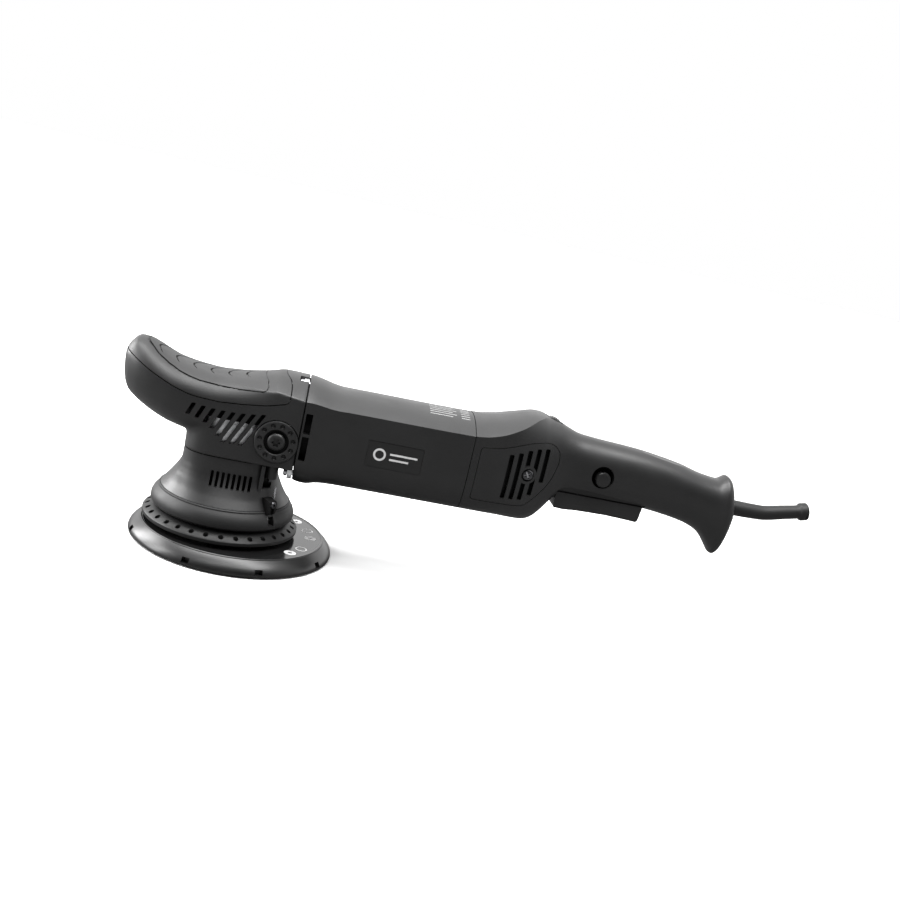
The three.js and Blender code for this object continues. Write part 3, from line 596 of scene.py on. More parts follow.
class Shell:
    """Lines along X for a shell: its top, bottom, half width, waist, how far the upper oval would rise
    above the waist, the two powers that square the oval, and the fall of the crown at its edge."""

    def __init__(self, **lines):
        self.lines = {name: smooth_line(points) for name, points in lines.items()}

    def at(self, name, x):
        return self.lines[name](x)

    def oval(self, x, inset, count):
        half = max(self.at("half", x) - inset, 0.6)
        waist = self.at("waist", x)
        rise = self.at("rise", x) if "rise" in self.lines else self.at("top", x) - waist
        up = max(rise - inset, 0.6)
        down = max(waist - self.at("bottom", x) - inset, 0.6)
        angle = np.linspace(0, 2 * math.pi, 4 * count, endpoint=False)
        c, s = np.cos(angle), np.sin(angle)
        power = np.where(s >= 0, 2 / self.at("upper", x), 2 / self.at("lower", x))
        y = half * np.sign(c) * np.abs(c) ** power
        z = waist + np.where(s >= 0, up, down) * np.sign(s) * np.abs(s) ** power
        ring = evenly(np.column_stack([y, z]), count)
        return np.column_stack([np.full(count, x), ring])

    def solid(self, name, stations, inset=0.0, count=96):
        made = ring_solid(name, [self.oval(x, inset, count) for x in stations])
        if "fall" in self.lines:
            cut(made, self.above_crown(name + "_crown", stations, inset))
        return made

    def above_crown(self, name, stations, inset):
        """Everything over the crown, which falls from its middle to its edges as a parabola."""
        y = np.linspace(-60, 60, 61)
        ends = [stations[0] - 2, *stations, stations[-1] + 2]
        rings = []
        for x in ends:
            top = self.at("top", x) - inset
            crown = top - self.at("fall", x) * (y / 38) ** 2
            under = np.column_stack([np.full(61, x), y, crown])
            rings.append(np.vstack([under, [(x, 60, 190), (x, -60, 190)]]))
        return ring_solid(name, rings)


def spaced(start, end, count, crowd=1.0):
    """Stations from start to end; crowd over 1 packs them towards the start."""
    return [start + (end - start) * (i / (count - 1)) ** crowd for i in range(count)]


HEAD = Shell(
    top=[[NOSE_X, 128.6], [-84.6, 132.6], [-83.5, 134.8], [-82, 137.1], [-80, 139.2], [-77, 140.9],
         [-73, 141.2], [-68, 139.2], [-58, 134.3], [-46, 129.8], [-34, 127.6], [-20, 126.4],
         [-12, 126.8], [-4, 127.8], [12, 131.2], [20, 133.3], [26, 135.3], [32, 135.7], [46, 135.5]],
    bottom=[[NOSE_X, 126.5], [-85.2, 117], [-84, 109.8], [-82.2, 104.2], [-80, 100.6], [-76, 97.3],
            [-68, 92.5], [-58, 87.8], [-46, 83.9], [-34, 82.2], [46, 82]],
    half=[[NOSE_X, 4], [-84.6, 11], [-82, 17], [-78, 21.6], [-72, 26], [-60, 31.2],
          [-46, 34.8], [-30, 36.5], [-14, 37.3], [46, 38]],
    waist=[[NOSE_X, 127.6], [-78, 124], [-72, 121], [-46, 112], [-13, 107], [20, 105], [46, 104]],
    rise=[[NOSE_X, 1], [-84.6, 5.8], [-83.5, 8.3], [-82, 11.1], [-80, 14.4], [-77, 17.3], [-68, 19.9],
          [-46, 17.8], [-20, 18.8], [-4, 22], [12, 27.5], [26, 36], [46, 48]],
    upper=[[NOSE_X, 2.1], [-40, 2.5], [0, 2.9], [46, 4]],
    lower=[[NOSE_X, 2.2], [-50, 2.5], [-20, 3.2], [46, 4]],
    fall=[[NOSE_X, 0.5], [-30, 2.5], [0, 6.5], [26, 10.5], [46, 12.4]],
)
MOTOR = Shell(
    top=[[46, 135.6], [50, 135.2], [58, 133.5], [66, 131.7], [74, 130.9], [90, 131], [140, 131.2],
         [170, 131.6]],
    bottom=[[46, 60.4], [48, 59.2], [54, 58.4], [58, 58.8], [62, 60], [68, 60.9], [78, 61.4],
            [170, 61.7]],
    half=[[46, 38], [170, 38]],
    waist=[[46, 104], [170, 104]],
    rise=[[46, 48], [170, 48]],
    upper=[[46, 4], [170, 4]],
    lower=[[46, 3.6], [170, 3.6]],
    fall=[[46, 12.4], [64, 10.2], [78, 9.1], [170, 9]],
)
HANDLE = Shell(
    top=[[169, 131.6], [178, 132.4], [184, 133.6], [190, 134.9], [202, 138.3], [212, 140.9],
         [217, 141.8], [222, 141.9], [228, 140.6], [236, 138.2], [244, 135.6], [250, 133.3],
         [256, 132.3], [270, 132.5], [280, 132.1], [290, 131.2], [310, 128], [330, 125.1],
         [350, 122.1], [358, 120.2], [364, 118.8], [369, 118.7], [373, 120.4], [376.5, 123],
         [379, 122.2], [380.6, 119.6], [382.4, 114], [384, 107], [385.5, 97]],
    bottom=[[169, 61.7], [190, 60.9], [202, 60.2], [214, 59.1], [221, 58.8], [226, 59.8],
            [230, 62.2], [236, 69.6], [242, 79], [246, 83.6], [250, 84.4], [310, 85.2],
            [320, 84.5], [330, 83.4], [340, 82], [350, 80], [356, 78.1], [362, 75.4], [367, 71.8],
            [371, 67.6], [375, 62.8], [378, 59.4], [379.6, 59], [381.4, 60.6], [383, 65],
            [384.4, 73], [385.5, 88]],
    half=[[169, 38], [185, 37], [200, 34], [214, 29.2], [222, 26], [232, 22.2], [242, 20],
          [252, 19], [300, 18.3], [340, 17.5], [362, 17], [371, 17.6], [377, 18.6], [381, 17.8],
          [384, 15.2], [385.5, 12.5]],
    waist=[[169, 104], [200, 107], [214, 110], [222, 111], [240, 108], [252, 107], [300, 106],
           [355, 101], [375, 97], [385.5, 93]],
    rise=[[169, 48], [185, 48], [200, 44], [214, 37], [222, 32.5], [228, 30.4], [236, 30.2],
          [244, 28], [256, 25.3], [300, 23.5], [330, 22.2], [358, 19.3], [369, 20.2], [373, 22.9],
          [376.5, 26], [379, 25.4], [382.4, 18.6], [385.5, 4]],
    upper=[[169, 4], [190, 3.6], [214, 2.7], [224, 2.5], [250, 2.3], [388, 2.3]],
    lower=[[169, 3.6], [205, 3], [230, 2.5], [388, 2.3]],
    fall=[[169, 9], [205, 9], [222, 5], [240, 0.5], [388, 0.2]],
)

# ---- Head shell, grip cover, grip pad and side caps ----
NECK_HALF = 35.4
NECK_FRONT = 34.4
PAD_DEPTH = 1.6


def neck_outline(inset, front=NECK_FRONT, half=NECK_HALF, power=3.4, back=None):
    """The neck's plan: a squared oval at the front, and flat sides back to the seam."""
    back = FRONT_SEAM_X - 2 * SEAM if back is None else back
    points = []
    for angle in np.linspace(-math.pi / 2, math.pi / 2, 49):
        c, s = math.cos(angle), math.sin(angle)
        points.append((
            -(front - inset) * abs(c) ** (2 / power),
            (half - inset) * math.copysign(abs(s) ** (2 / power), s),
        ))
    return [(back, -half + inset), *points, (back, half - inset)]


def smoothed_near(obj, passes, centre_x, reach_x, z0, z1, voxel=1.0):
    """Remeshes a solid and relaxes it where the nose runs into the neck."""
    remesh = obj.modifiers.new("remesh", "REMESH")
    remesh.mode = "VOXEL"
    remesh.voxel_size = voxel * MM
    applied(obj)
    group = obj.vertex_groups.new(name="blend")
    for vertex in obj.data.vertices:
        x, _, z = vertex.co / MM
        across = max(0, 1 - abs(x - centre_x) / reach_x)
        up = max(0, min((z - z0) / 4, 1)) * max(0, min((z1 - z) / 8, 1))
        if across * up > 0:
            group.add([vertex.index], min(1, 2 * across) * up, "REPLACE")
    smooth = obj.modifiers.new("smooth", "SMOOTH")
    smooth.iterations = passes
    smooth.factor = 0.5
    smooth.vertex_group = "blend"
    applied(obj)
    obj.vertex_groups.clear()
    return obj


def head_outside(inset=0.0):
    back = FRONT_SEAM_X - 2 * SEAM
    stations = spaced(NOSE_X + inset, back, 90, 1.9)
    made = HEAD.solid("head_outside", stations, inset)
    neck = prism("neck", neck_outline(inset), "z", SHROUD_TOP_Z + NECK_GAP, 102)
    return fuse(made, neck)


COVER_SEAM = [(-90, 133.4), (-86, 133), (-82, 131.5), (-77.5, 129.5), (-72, 126.7), (-64, 122.9),
              (-56, 119.7), (-46, 116), (-35, 113.1), (-27, 112.3), (-13, 111.9), (4, 113.4),
              (20, 115.7), (34, 119.7)]


def cover_region(name, gap):
    """Everything over the grip cover's seam and in front of its rear edge."""
    rear = [(34.6, 124), (34, 130.2), (32.6, 133.2), (29, 135), (26.6, 136.5), (26.6, 150)]
    outline = [(x, z - gap) for x, z in COVER_SEAM] + [(x + gap, z) for x, z in rear]
    return prism(name, rounded([*outline, (-90, 150)], 2.2, 4), "y", -60, 60)


def pad_region(name, grow):
    """The grip pad's outline from the side, which the pad shares on both sides."""
    outline = [(-73.6 - grow, 160), (-73 - grow, 142), (-70.4 - grow, 139.8 - grow),
               (-66.3, 137.2 - grow), (-60.6, 133.2 - grow), (-52.4, 128.9 - grow),
               (-44.5, 125.8 - grow), (-37, 123.9 - grow), (-29.6, 122.6 - grow), (-15, 121.8 - grow),
               (-1.5, 122.3 - grow), (8, 123.3 - grow), (15 + grow, 124.2 - grow),
               (17.2 + grow, 125.2), (17.8 + grow, 127), (16.8 + grow, 129.8), (14 + grow, 131.6),
               (11.4 + grow, 134), (11 + grow, 160)]
    return prism(name, outline, "y", -60, 60)


def slanted_vents():
    """Eight slanted slots on each side; their lower ends follow the neck."""
    made = []
    for i in range(8):
        top_x, top_z = -31.6 + 7 * i, 106 + 0.16 * (i - 3) ** 2
        low_z = max(82.6, 98.3 - 0.9 * i - 0.5 * i * i)
        low_x = top_x - (0.4 + 0.016 * i) * (top_z - low_z)
        made.append(prism(f"vent_{i}", rounded([
            (low_x, low_z), (low_x + 3.1, low_z), (top_x + 3.1, top_z), (top_x, top_z),
        ], 0.7, 3), "y", -60, 60))
    return made


def grip_scales(surface):
    """Six broad curved grooves across the grip pad, like overlapping scales."""
    made = []
    for i in range(6):
        rings = []
        for t in np.linspace(-1, 1, 25):
            x, y = -62.3 + 12.7 * i + 7 * t * t + 4 * t, 14 * t
            z = surface(x, y)
            depth = 1.3 - 1.1 * t**6
            wide = 0.95 - 0.6 * t**6
            rings.append([(x - wide, y, z + 1.6), (x + wide, y, z + 1.6),
                          (x + 0.5 * wide, y, z - depth), (x - 0.5 * wide, y, z - depth)])
        made.append(ring_solid(f"scale_{i}", rings))
    return made


def head_top(x, y):
    """The height of the head's top surface."""
    half, waist = HEAD.at("half", x), HEAD.at("waist", x)
    power = HEAD.at("upper", x)
    across = min(abs(y) / half, 0.999)
    oval = waist + HEAD.at("rise", x) * (1 - across**power) ** (1 / power)
    return min(oval, HEAD.at("top", x) - HEAD.at("fall", x) * (y / 38) ** 2)


def build_head():
    outside = smoothed_near(head_outside(), 40, -33, 26, 77, 108)
    hollow = head_outside(WALL)
    below = prism("below", neck_outline(WALL, back=60), "z", 60, 80)
    shell = cut(copy_of(outside, "head_shell"), hollow, below)
    pockets = [block("pocket", 38.9, 50, *span, 126.5, 150) for span in ((-15.4, -6.6), (6.6, 15.4))]
    seats = [turned_y("seat", [(16.2, 34.4), (16.2, 46)], CAP_X, CAP_Z, side=s) for s in (-1, 1)]
    cover = common(copy_of(shell, "grip_cover"), cover_region("region", 0))
    cut(shell, cover_region("region", COVER_GAP), *pockets, *seats, *slanted_vents())
    pocket = HEAD.solid("pocket", spaced(NOSE_X, FRONT_SEAM_X, 60, 1.9), PAD_DEPTH + 0.2)
    deep = common(copy_of(outside, "deep"), pad_region("region", PAD_GAP))
    cut(cover, cut(deep, copy_of(pocket, "pocket_again")))
    pad = common(copy_of(outside, "grip_pad"), pad_region("region", 0))
    cut(pad, pocket, *grip_scales(head_top))
    remove(outside)
    finished(shell, PLASTIC, node="head_shell")
    finished(cover, SOFT_GRIP, "root", "grip_cover")
    finished(pad, PAD_RUBBER, "root", "grip_pad")


def build_side_caps():
    """A round cap with a ring of dimples, a groove, and a domed screw with a star recess."""
    disc = turned_y("side_cap_right", [(15.6, 34.9), (15.6, 37.1), (15.1, 37.7), (14.2, 38),
                                       (9.4, 38), (9, 37.7), (8.9, 35.2), (7, 35.1)],
                    CAP_X, CAP_Z, 96)
    for i in range(11):
        angle = 2 * math.pi * (i + 0.35) / 11
        x, z = CAP_X + 11.9 * math.cos(angle), CAP_Z + 11.9 * math.sin(angle)
        cut(disc, turned_y("dimple", [(0.7, 36.2), (1.5, 36.8), (1.8, 37.7), (2.1, 39)], x, z, 24))
    dome = [(6.4 * math.cos(a), 37 + 2.6 * math.sin(a)) for a in np.linspace(0, 1.45, 9)]
    screw = turned_y("cap_screw_right", [(6.4, 35.2), *dome], CAP_X, CAP_Z, 64)
    star = []
    for i in range(24):
        angle = 2 * math.pi * i / 24
        reach = 2.7 + 0.75 * math.cos(6 * angle)
        star.append((CAP_X + reach * math.cos(angle), CAP_Z + reach * math.sin(angle)))
    cut(screw, prism("star", star, "y", 37.2, 44))
    for piece, name in ((disc, "side_cap_left"), (screw, "cap_screw_left")):
        other = mirrored(piece, name)
        for obj in (piece, other):
            if piece is disc:
                finished(obj, PLASTIC, node=name)
                # The groove's walls and floor, and the middle under the screw, get the darker plastic:
                # painted shade in the groove.
                also(obj, DARK_PLASTIC_AND_PAINTED_SHADE,
                     lambda x, y, z, up: abs(y) < 37.6 and math.hypot(x - CAP_X, z - CAP_Z) < 9.2)
            else:
                finished(obj, CONTROL, "root")


# ---- Shroud, collar, clamp and vent ring ----


def squared_ring(radius, power, z, x_radius=None, count=128):
    x_radius = radius if x_radius is None else x_radius
    ring = []
    for a in np.linspace(0, 2 * math.pi, 4 * count, endpoint=False):
        c, s = math.cos(a), math.sin(a)
        ring.append((
            x_radius * math.copysign(abs(c) ** (2 / power), c),
            radius * math.copysign(abs(s) ** (2 / power), s),
        ))
    ring = evenly(np.array(ring), count)
    return np.column_stack([ring, np.full(count, z)])


def squared_solid(name, rows):
    """A solid whose levels are squared circles, from (half width, power, z) rows."""
    return ring_solid(name, [squared_ring(*row) for row in rows])


BELL = smooth_line([[38, 47.5], [41, 45.2], [45, 42.2], [50, 39], [54, 36.8], [58, 35.2], [63, 34.4],
                    [72, 34.2]])
BELL_POWER = smooth_line([[38, 2], [44, 2.15], [52, 2.7], [60, 3.3], [72, 3.4]])


def bell(name, inset, z0, z1):
    rings = [squared_ring(BELL(z) - inset, BELL_POWER(z), z) for z in spaced(z0, z1, 34)]
    return ring_solid(name, rings)


def build_shroud():
    shroud = bell("shroud", 0, SHROUD_FOOT_Z, SHROUD_TOP_Z)
    cut(shroud, bell("inside", WALL, SHROUD_FOOT_Z - 1, SHROUD_TOP_Z + 1))
    for i in range(8):
        x = -10.5 + 3.9 * i
        slot = rectangle(x, x + 2.1, 50.2, 61, 0.6, 3)
        cut(shroud, prism("slot", slot, "y", -60, 60))
    for side in (-1, 1):
        y0, y1 = sorted((side * 18, side * 60))
        channel = rectangle(26.6, 32.5, y0, y1, 2, 4)
        cut(shroud, prism("channel", channel, "z", 53, 90))
        wall = rounded([(24, side * 15.6), (33.6, side * 15.6), (33.6, side * 18.6), (24, side * 18.6)],
                       0.8, 3)
        side_wall = rounded([(24, side * 15.6), (26.8, side * 15.6), (26.8, side * 34), (24, side * 34)],
                            0.8, 3)
        fuse(shroud, prism("wall", wall, "z", 52, SHROUD_TOP_Z))
        fuse(shroud, prism("side_wall", side_wall, "z", 52, SHROUD_TOP_Z))
        middle = SHROUD_SCREW_X, side * SHROUD_SCREW_Y
        boss = turned("boss", [(4.6, 59.5), (4.9, 60.5), (4.9, SHROUD_TOP_Z)], *middle, 40)
        cut(boss, turned("bore", [(2.4, 55), (2.4, 80)], *middle, 32))
        fuse(shroud, boss)
    finished(shroud, PLASTIC, node="shroud")
    # A dark ring close behind the front slots: painted shade, so the slots look black.
    shade_sheet = turned("shroud_slot_shade", [(30.6, 48), (31.2, 48), (31.2, 61), (30.6, 61)], sides=96, hollow=True)
    finished(shade_sheet, DARK_PLASTIC_AND_PAINTED_SHADE)


def build_collar():
    outer = [(46.2, 17), (46.3, 22.9), (48.6, 23.2), (51, 23.9), (52.5, 25.4), (53, 27.6), (52.8, 30),
             (51.8, 32.6), (50.4, 34.6), (49.3, 35.7), (48.7, 36.4), (48.6, 37.4), (48, 37.9)]
    inner = [(44.6, 37.9), (46.6, 30), (43.6, 25), (43.5, 17)]
    collar = turned("shroud_collar", outer + inner, sides=160, hollow=True)
    notch = turn_about_z(block("notch", 46, 60, -2.7, 2.7, 28, 34.6), CLAMP_ANGLE)
    finished(cut(collar, notch), RUBBER, "root", "shroud_collar")

    ring = turned("vent_ring", [
        (46.8, VENT_RING_Z), (56.9, VENT_RING_Z), (VENT_RING_RADIUS, 15.1), (VENT_RING_RADIUS, 17.2),
        (57, 17.9), (49.6, 21.9), (48.8, 22.1), (46.8, 22.1),
    ], sides=160, hollow=True)
    for i in range(32):
        angle = 2 * math.pi * (i + 0.5) / 32
        x, y = 54 * math.cos(angle), 54 * math.sin(angle)
        cut(ring, turned("hole", [(1.9, 15.6), (1.9, 24)], x, y, 16))
    finished(ring, DULL_PLASTIC, node="vent_ring")


def build_clamp():
    """The bracket that holds the collar, on the shroud's flare, with its screw and a spring wire."""
    body = rounded([(43, 36), (50.6, 36), (51.6, 39), (51.2, 46), (43, 47.5)], 1, 4)
    bracket = turn_about_z(prism("collar_clamp", body, "y", -3.6, 3.6), CLAMP_ANGLE)
    groove = turn_about_z(block("groove", 49.8, 53, -1.6, 1.6, 34, 41), CLAMP_ANGLE)
    finished(cut(bracket, groove), DARK_PLASTIC_AND_PAINTED_SHADE, node="collar_clamp")
    screw = turned_x("collar_clamp_screw", [(2.2, 50), (2.5, 51.6), (2.1, 52.3), (1.2, 52.5)], 0, 43.8, 32)
    recess = prism("recess", hexagon(1.1, 0, 43.8), "x", 51.4, 53)
    turn_about_z(cut(screw, recess), CLAMP_ANGLE)
    finished(screw, DARK_STEEL, "root", "collar_clamp_screw")
    rod = turned("clamp_rod", [(0.75, 36.5), (0.75, 55)], 45.6, 5, 16)
    finished(turn_about_z(rod, CLAMP_ANGLE), STEEL, "root")


def build_shroud_screws():
    for side, node in ((-1, "shroud_screw_left"), (1, "shroud_screw_right")):
        head = [(1.9, 57), (1.9, 61), (3.3, 61.2), (3.3, 62.6), (2.2, 63.2)]
        screw = turned(node, head, SHROUD_SCREW_X, side * SHROUD_SCREW_Y, 32)
        finished(screw, DARK_STEEL, "root", node)


# ---- Gear case and its screws ----


CASE_SCREWS = ("case_screw_1", "case_screw_2", "case_screw_3", "case_screw_4")


def build_gear_case():
    rows = ((21, 2, 60.2), (21.5, 2, 61), (21.5, 2, 71.8), (22.4, 2.1, 72.8), (28.4, 2.8, 74),
            (30.8, 3.2, 75.6), (30.8, 3.2, 98.2), (29.8, 2.4, 98.3), (29.8, 2.4, 107))
    pot = squared_solid("gear_case", rows)
    for x in range(-18, 19, 6):
        fuse(pot, block("rib", x - 0.7, x + 0.7, -31.5, 31.5, 78, 96))
    flange_x = float(node_box("case_screw_1")[0][0]) + 3
    tunnel = block("tunnel", 24, flange_x + 1, -17, 17, 82, 107)
    ears = [(-29, 78), (-31.4, 72), (-31.4, 67), (-29, 63.4), (-24, 63.4), (-21, 66), (21, 66), (24, 63.4),
            (29, 63.4), (31.4, 67), (31.4, 72), (29, 78), (29, 112), (20, 124), (15, 127.5), (15, 134.2),
            (6.9, 134.2), (6.9, 127.5), (-6.9, 127.5), (-6.9, 134.2), (-15, 134.2), (-15, 127.5),
            (-20, 124), (-29, 112)]
    flange = prism("flange", rounded(ears, 1.6, 5), "x", flange_x, 45.6)
    boss = turned_x("boss", [(16, 38), (16.5, 38.6), (16.5, 47.3)], 0, MOTOR_Z, 64)
    fuse(pot, tunnel, flange, boss)
    cut(
        pot,
        turned("inside", [(27.6, 77), (27.6, 110)], sides=96),
        turned_x("mesh_way", [(9, 8), (9, 38.3)], 0, MOTOR_Z, 40),
        turned_x("seat", [(13.3, 38), (13.3, 49)], 0, MOTOR_Z, 64),
        turned("bearing_seat", [(17.3, 58), (17.3, 78)], sides=64),
    )
    for node in CASE_SCREWS:
        low, high = node_box(node)
        _, y, z = (low + high) / 2
        cut(pot, turned_x("hole", [(2.4, flange_x - 1), (2.4, 48)], y, z, 24))
        build_case_screw(node, float(low[0]), y, z)
    finished(pot, ALUMINIUM, "root", "gear_case")


def build_gear_case_cover():
    """A dark cap over the pot, with a grooved skirt that is open where the tunnel comes out. Its dark
    plastic is painted shade on the upper pot where it shows through the head's vents.
    """
    rows = ((31.3, 3.2, 98.6), (31.7, 3.2, 99), (31.7, 3.2, 109.4), (31, 3.2, 110.3), (13, 2, 110.4),
            (12, 2, 111), (12, 2, 112.6), (11.4, 2, 113.2))
    cap = squared_solid("gear_case_cover", rows)
    cut(cap, squared_solid("within", ((30.2, 2.6, 97), (30.2, 2.6, 107.4))))
    for x in range(-15, 16, 6):
        for y0, y1 in ((-33, -31.2), (31.2, 33)):
            cut(cap, block("groove", x - 1, x + 1, y0, y1, 97, 105))
    cut(cap, block("way", 20, 40, -17.3, 17.3, 97, 107.3))
    finished(cap, DARK_PLASTIC_AND_PAINTED_SHADE, node="gear_case_cover")


def build_case_screw(name, face, y, z):
    """A pan-headed screw along X with a hexagon recess."""
    screw = turned_x(name, [(1.9, face), (2.7, face + 0.4), (3, face + 1.1), (3, face + 2.7),
                            (2, face + 2.8), (2, face + 14)], y, z, 32)
    cut(screw, prism("recess", hexagon(1.4, y, z), "x", face - 1, face + 1.5))
    finished(screw, STEEL, "root", name)


# ---- Motor housing, badge and rating label ----


def build_fan_guide():
    """The ring round the fan, on a web that the housing holds."""
    guide = turned_x("fan_guide", [(33.4, 48), (33.4, 60)], 0, MOTOR_Z, 96)
    fuse(guide, block("web", 47.7, 60, -36.5, 36.5, 98.2, 100.8))
    cut(guide, turned_x("fan_way", [(28.5, 44), (28.5, 70)], 0, MOTOR_Z, 96))
    finished(guide, DARK_PLASTIC_AND_PAINTED_SHADE)


def build_seam_shade():
    """A dark band inside the seam between head and motor, with ways for the gear case's tabs: painted shade
    that darkens the seam.
    """
    shade_band = MOTOR.solid("seam_shade_band", [44, 47.4], WALL + 0.1)
    cut(shade_band, MOTOR.solid("within", [42, 49], WALL + 1.3), block("foot", 43, 46.5, -40, 40, 50, 74))
    cut(shade_band, *[block("tab_way", 43, 48, *span, 120, 140) for span in ((-15.6, -6.4), (6.4, 15.6))])
    finished(shade_band, DARK_PLASTIC_AND_PAINTED_SHADE)


def build_motor_housing():
    front, back = FRONT_SEAM_X + SEAM, REAR_SEAM_X - SEAM
    edge = [front, front + 0.4]
    outside = MOTOR.solid("motor_housing", [*edge, *spaced(front + 1, back - 1, 70, 1.5), back], 0, 128)
    cut(outside, MOTOR.solid("inside", spaced(front - 3, back + 3, 40), WALL))
    for z0, z1 in ((80.4, 98.4), (100.4, 115.4)):
        slot = rectangle(47.7, 52.6, z0, z1, 0.5, 3)
        cut(outside, prism("slot", slot, "y", -60, 60))
    for side in (-1, 1):
        y0, y1 = sorted((side * 37.4, side * 45))
        recess = rectangle(94.5, 135.5, 86.2, 105.8, 1.2, 4)
        cut(outside, prism("badge_recess", recess, "y", y0, y1))
    spider = turned_x("spider", [(14, 161), (14, 168.5)], 0, MOTOR_Z, 64)
    upright = block("upright", 162, 168.5, -2, 2, 60, 130)
    fuse(spider, block("arm", 162, 168.5, -36.5, 36.5, 97, 101), upright)
    cut(spider, turned_x("seat", [(11.3, 158), (11.3, 172)], 0, MOTOR_Z, 48))
    build_fan_guide()
    build_seam_shade()
    fuse(outside, spider)
    for node in CASE_SCREWS:
        _, y, z = node_centre(node)
        cut(outside, turned_x("hole", [(2.4, 44), (2.4, 54.4)], y, z, 24))
    finished(outside, PLASTIC, node="motor_housing")


def build_badges():
    """A plain badge on each side: a dark plate with a pale ring and bars, and no lettering."""
    for side, name in ((-1, "left"), (1, "right")):
        y0, y1 = sorted((side * 37.42, side * 37.75))
        outline = rectangle(95, 135, 86.7, 105.3, 1, 4)
        finished(prism("badge_plate_" + name, outline, "y", y0, y1), GLOSS)
        middle = 104 if side < 0 else 126
        ring = turned_y("badge_ring_" + name, [(4.6, 37.76), (4.6, 37.9)], middle, 96.2, 64, side)
        cut(ring, turned_y("hole", [(3.1, 37), (3.1, 39)], middle, 96.2, 48, side))
        finished(ring, PRINT)
        start = 111.5 if side < 0 else 97.5
        y0, y1 = sorted((side * 37.76, side * 37.9))
        for i, length in enumerate((20, 14)):
            z = 97 - 4 * i
            bar = block(f"badge_bar_{name}_{i + 1}", start, start + length, y0, y1, z, z + 1.4)
            finished(bar, PRINT)


def build_rating_label():
    """Fine pale rules on the top stand for a rating label."""
    for row in range(6):
        y = 3 - 4 * row
        for part, (start, length) in enumerate(((136, 20 - 3 * (row % 2)), (159.5, 6.5))):
            end = start + length
            outline = ((start, y - 0.5), (end, y - 0.5), (end, y + 0.5), (start, y + 0.5))
            corners = [(x, across, motor_crown(x, across) + 0.03) for x, across in outline]
            low = [(x, cy, z - 0.12) for x, cy, z in corners]
            rule = ring_solid(f"label_rule_{row + 1}_{part + 1}", [low, corners])
            finished(rule, DIM_PRINT)


def motor_crown(x, y):
    return MOTOR.at("top", x) - MOTOR.at("fall", x) * (y / 38) ** 2


# ---- Handle shells and brush covers ----
COVER_OUTLINE = [(175.6, 76), (199.6, 75), (212, 74.4), (217.2, 74.4), (221, 77.4), (227, 84.4),
                 (232.1, 91.7), (235, 98.6), (236.8, 105.4), (238, 113), (236.6, 119.8), (231.7, 124),
                 (225, 125.2), (214, 123.7), (205, 121.3), (192.1, 117.5), (184, 116.3), (175.6, 115.7)]


def cover_outline(grow):
    middle = np.array([204, 101])
    grown = []
    for x, z in COVER_OUTLINE:
        away = np.array([x, z]) - middle
        grown.append(tuple(middle + away * (1 + grow / np.linalg.norm(away))))
    return rounded(grown, 2.6, 5)


def handle_stations(back=HANDLE_END_X):
    front = REAR_SEAM_X + SEAM
    return [*spaced(front, 250, 64), *spaced(252.5, 352, 36), *spaced(355, 374, 14), *spaced(375, back, 22)]


TRIGGER_WELL = (242.8, 314.5)


def build_handle():
    outside = HANDLE.solid("outside", handle_stations(), 0, 128)
    solid = copy_of(outside, "solid")
    hollow = HANDLE.solid("hollow", [*spaced(REAR_SEAM_X - 2, 250, 40), *spaced(254, 374, 40)], WALL, 64)
    cut(outside, hollow)
    skin = copy_of(outside, "skin")
    bulkhead = block("bulkhead", TRIGGER_WELL[0] - WALL, TRIGGER_WELL[0] + 1, -22, 22, 70, 98)
    fuse(outside, common(bulkhead, solid, keep=True))
    well = rounded([(TRIGGER_WELL[0], 40), (TRIGGER_WELL[0], 88.8), (247, 92.4), (252, 93.5), (262, 93.6),
                    (280, 92.6), (300, 90.4), (TRIGGER_WELL[1], 88.2), (TRIGGER_WELL[1], 40)], 1.5, 4)
    cut(outside, prism("well", well, "y", -40, 40))
    cut(outside, block("trigger_way", *TRIGGER_WELL, -12.3, 12.3, 70, 98))
    cut(outside, turned_y("dial_slot", [(10.9, -4.9), (10.9, 4.9)], DIAL_X, DIAL_Z, 64))
    cut(outside, turned_x("sleeve_hole", [(6.9, 368), (6.9, 385), (8.4, 387.4), (9.5, 392)], 0, 98.4, 48))
    scoop = [(7.2, 13.6), (7.8, 14), (8.6, 17.4), (9.1, 24)]
    scoop = turned_y("scoop", scoop, LOCK_X - 0.5, LOCK_Z + 1.6, 64, -1)
    cut(outside, scoop)
    for side, name in ((-1, "left"), (1, "right")):
        y0, y1 = (-60, -SEAM / 3) if side < 0 else (SEAM / 3, 60)
        shell = common(copy_of(outside, "handle_shell_" + name), block("half", 150, 420, y0, y1, 30, 170))
        near, far = sorted((side * 6, side * 60))
        cut(shell, prism("opening", cover_outline(2 * SEAM), "y", near, far))
        if side < 0:
            cut(shell, turned_y("lock_hole", [(6.3, 5), (6.3, 30)], LOCK_X, LOCK_Z, 48, -1))
        finished(shell, PLASTIC, node="handle_shell_" + name)
        build_brush_cover(skin, solid, side, name)
    for left_over in (outside, skin, solid):
        remove(left_over)


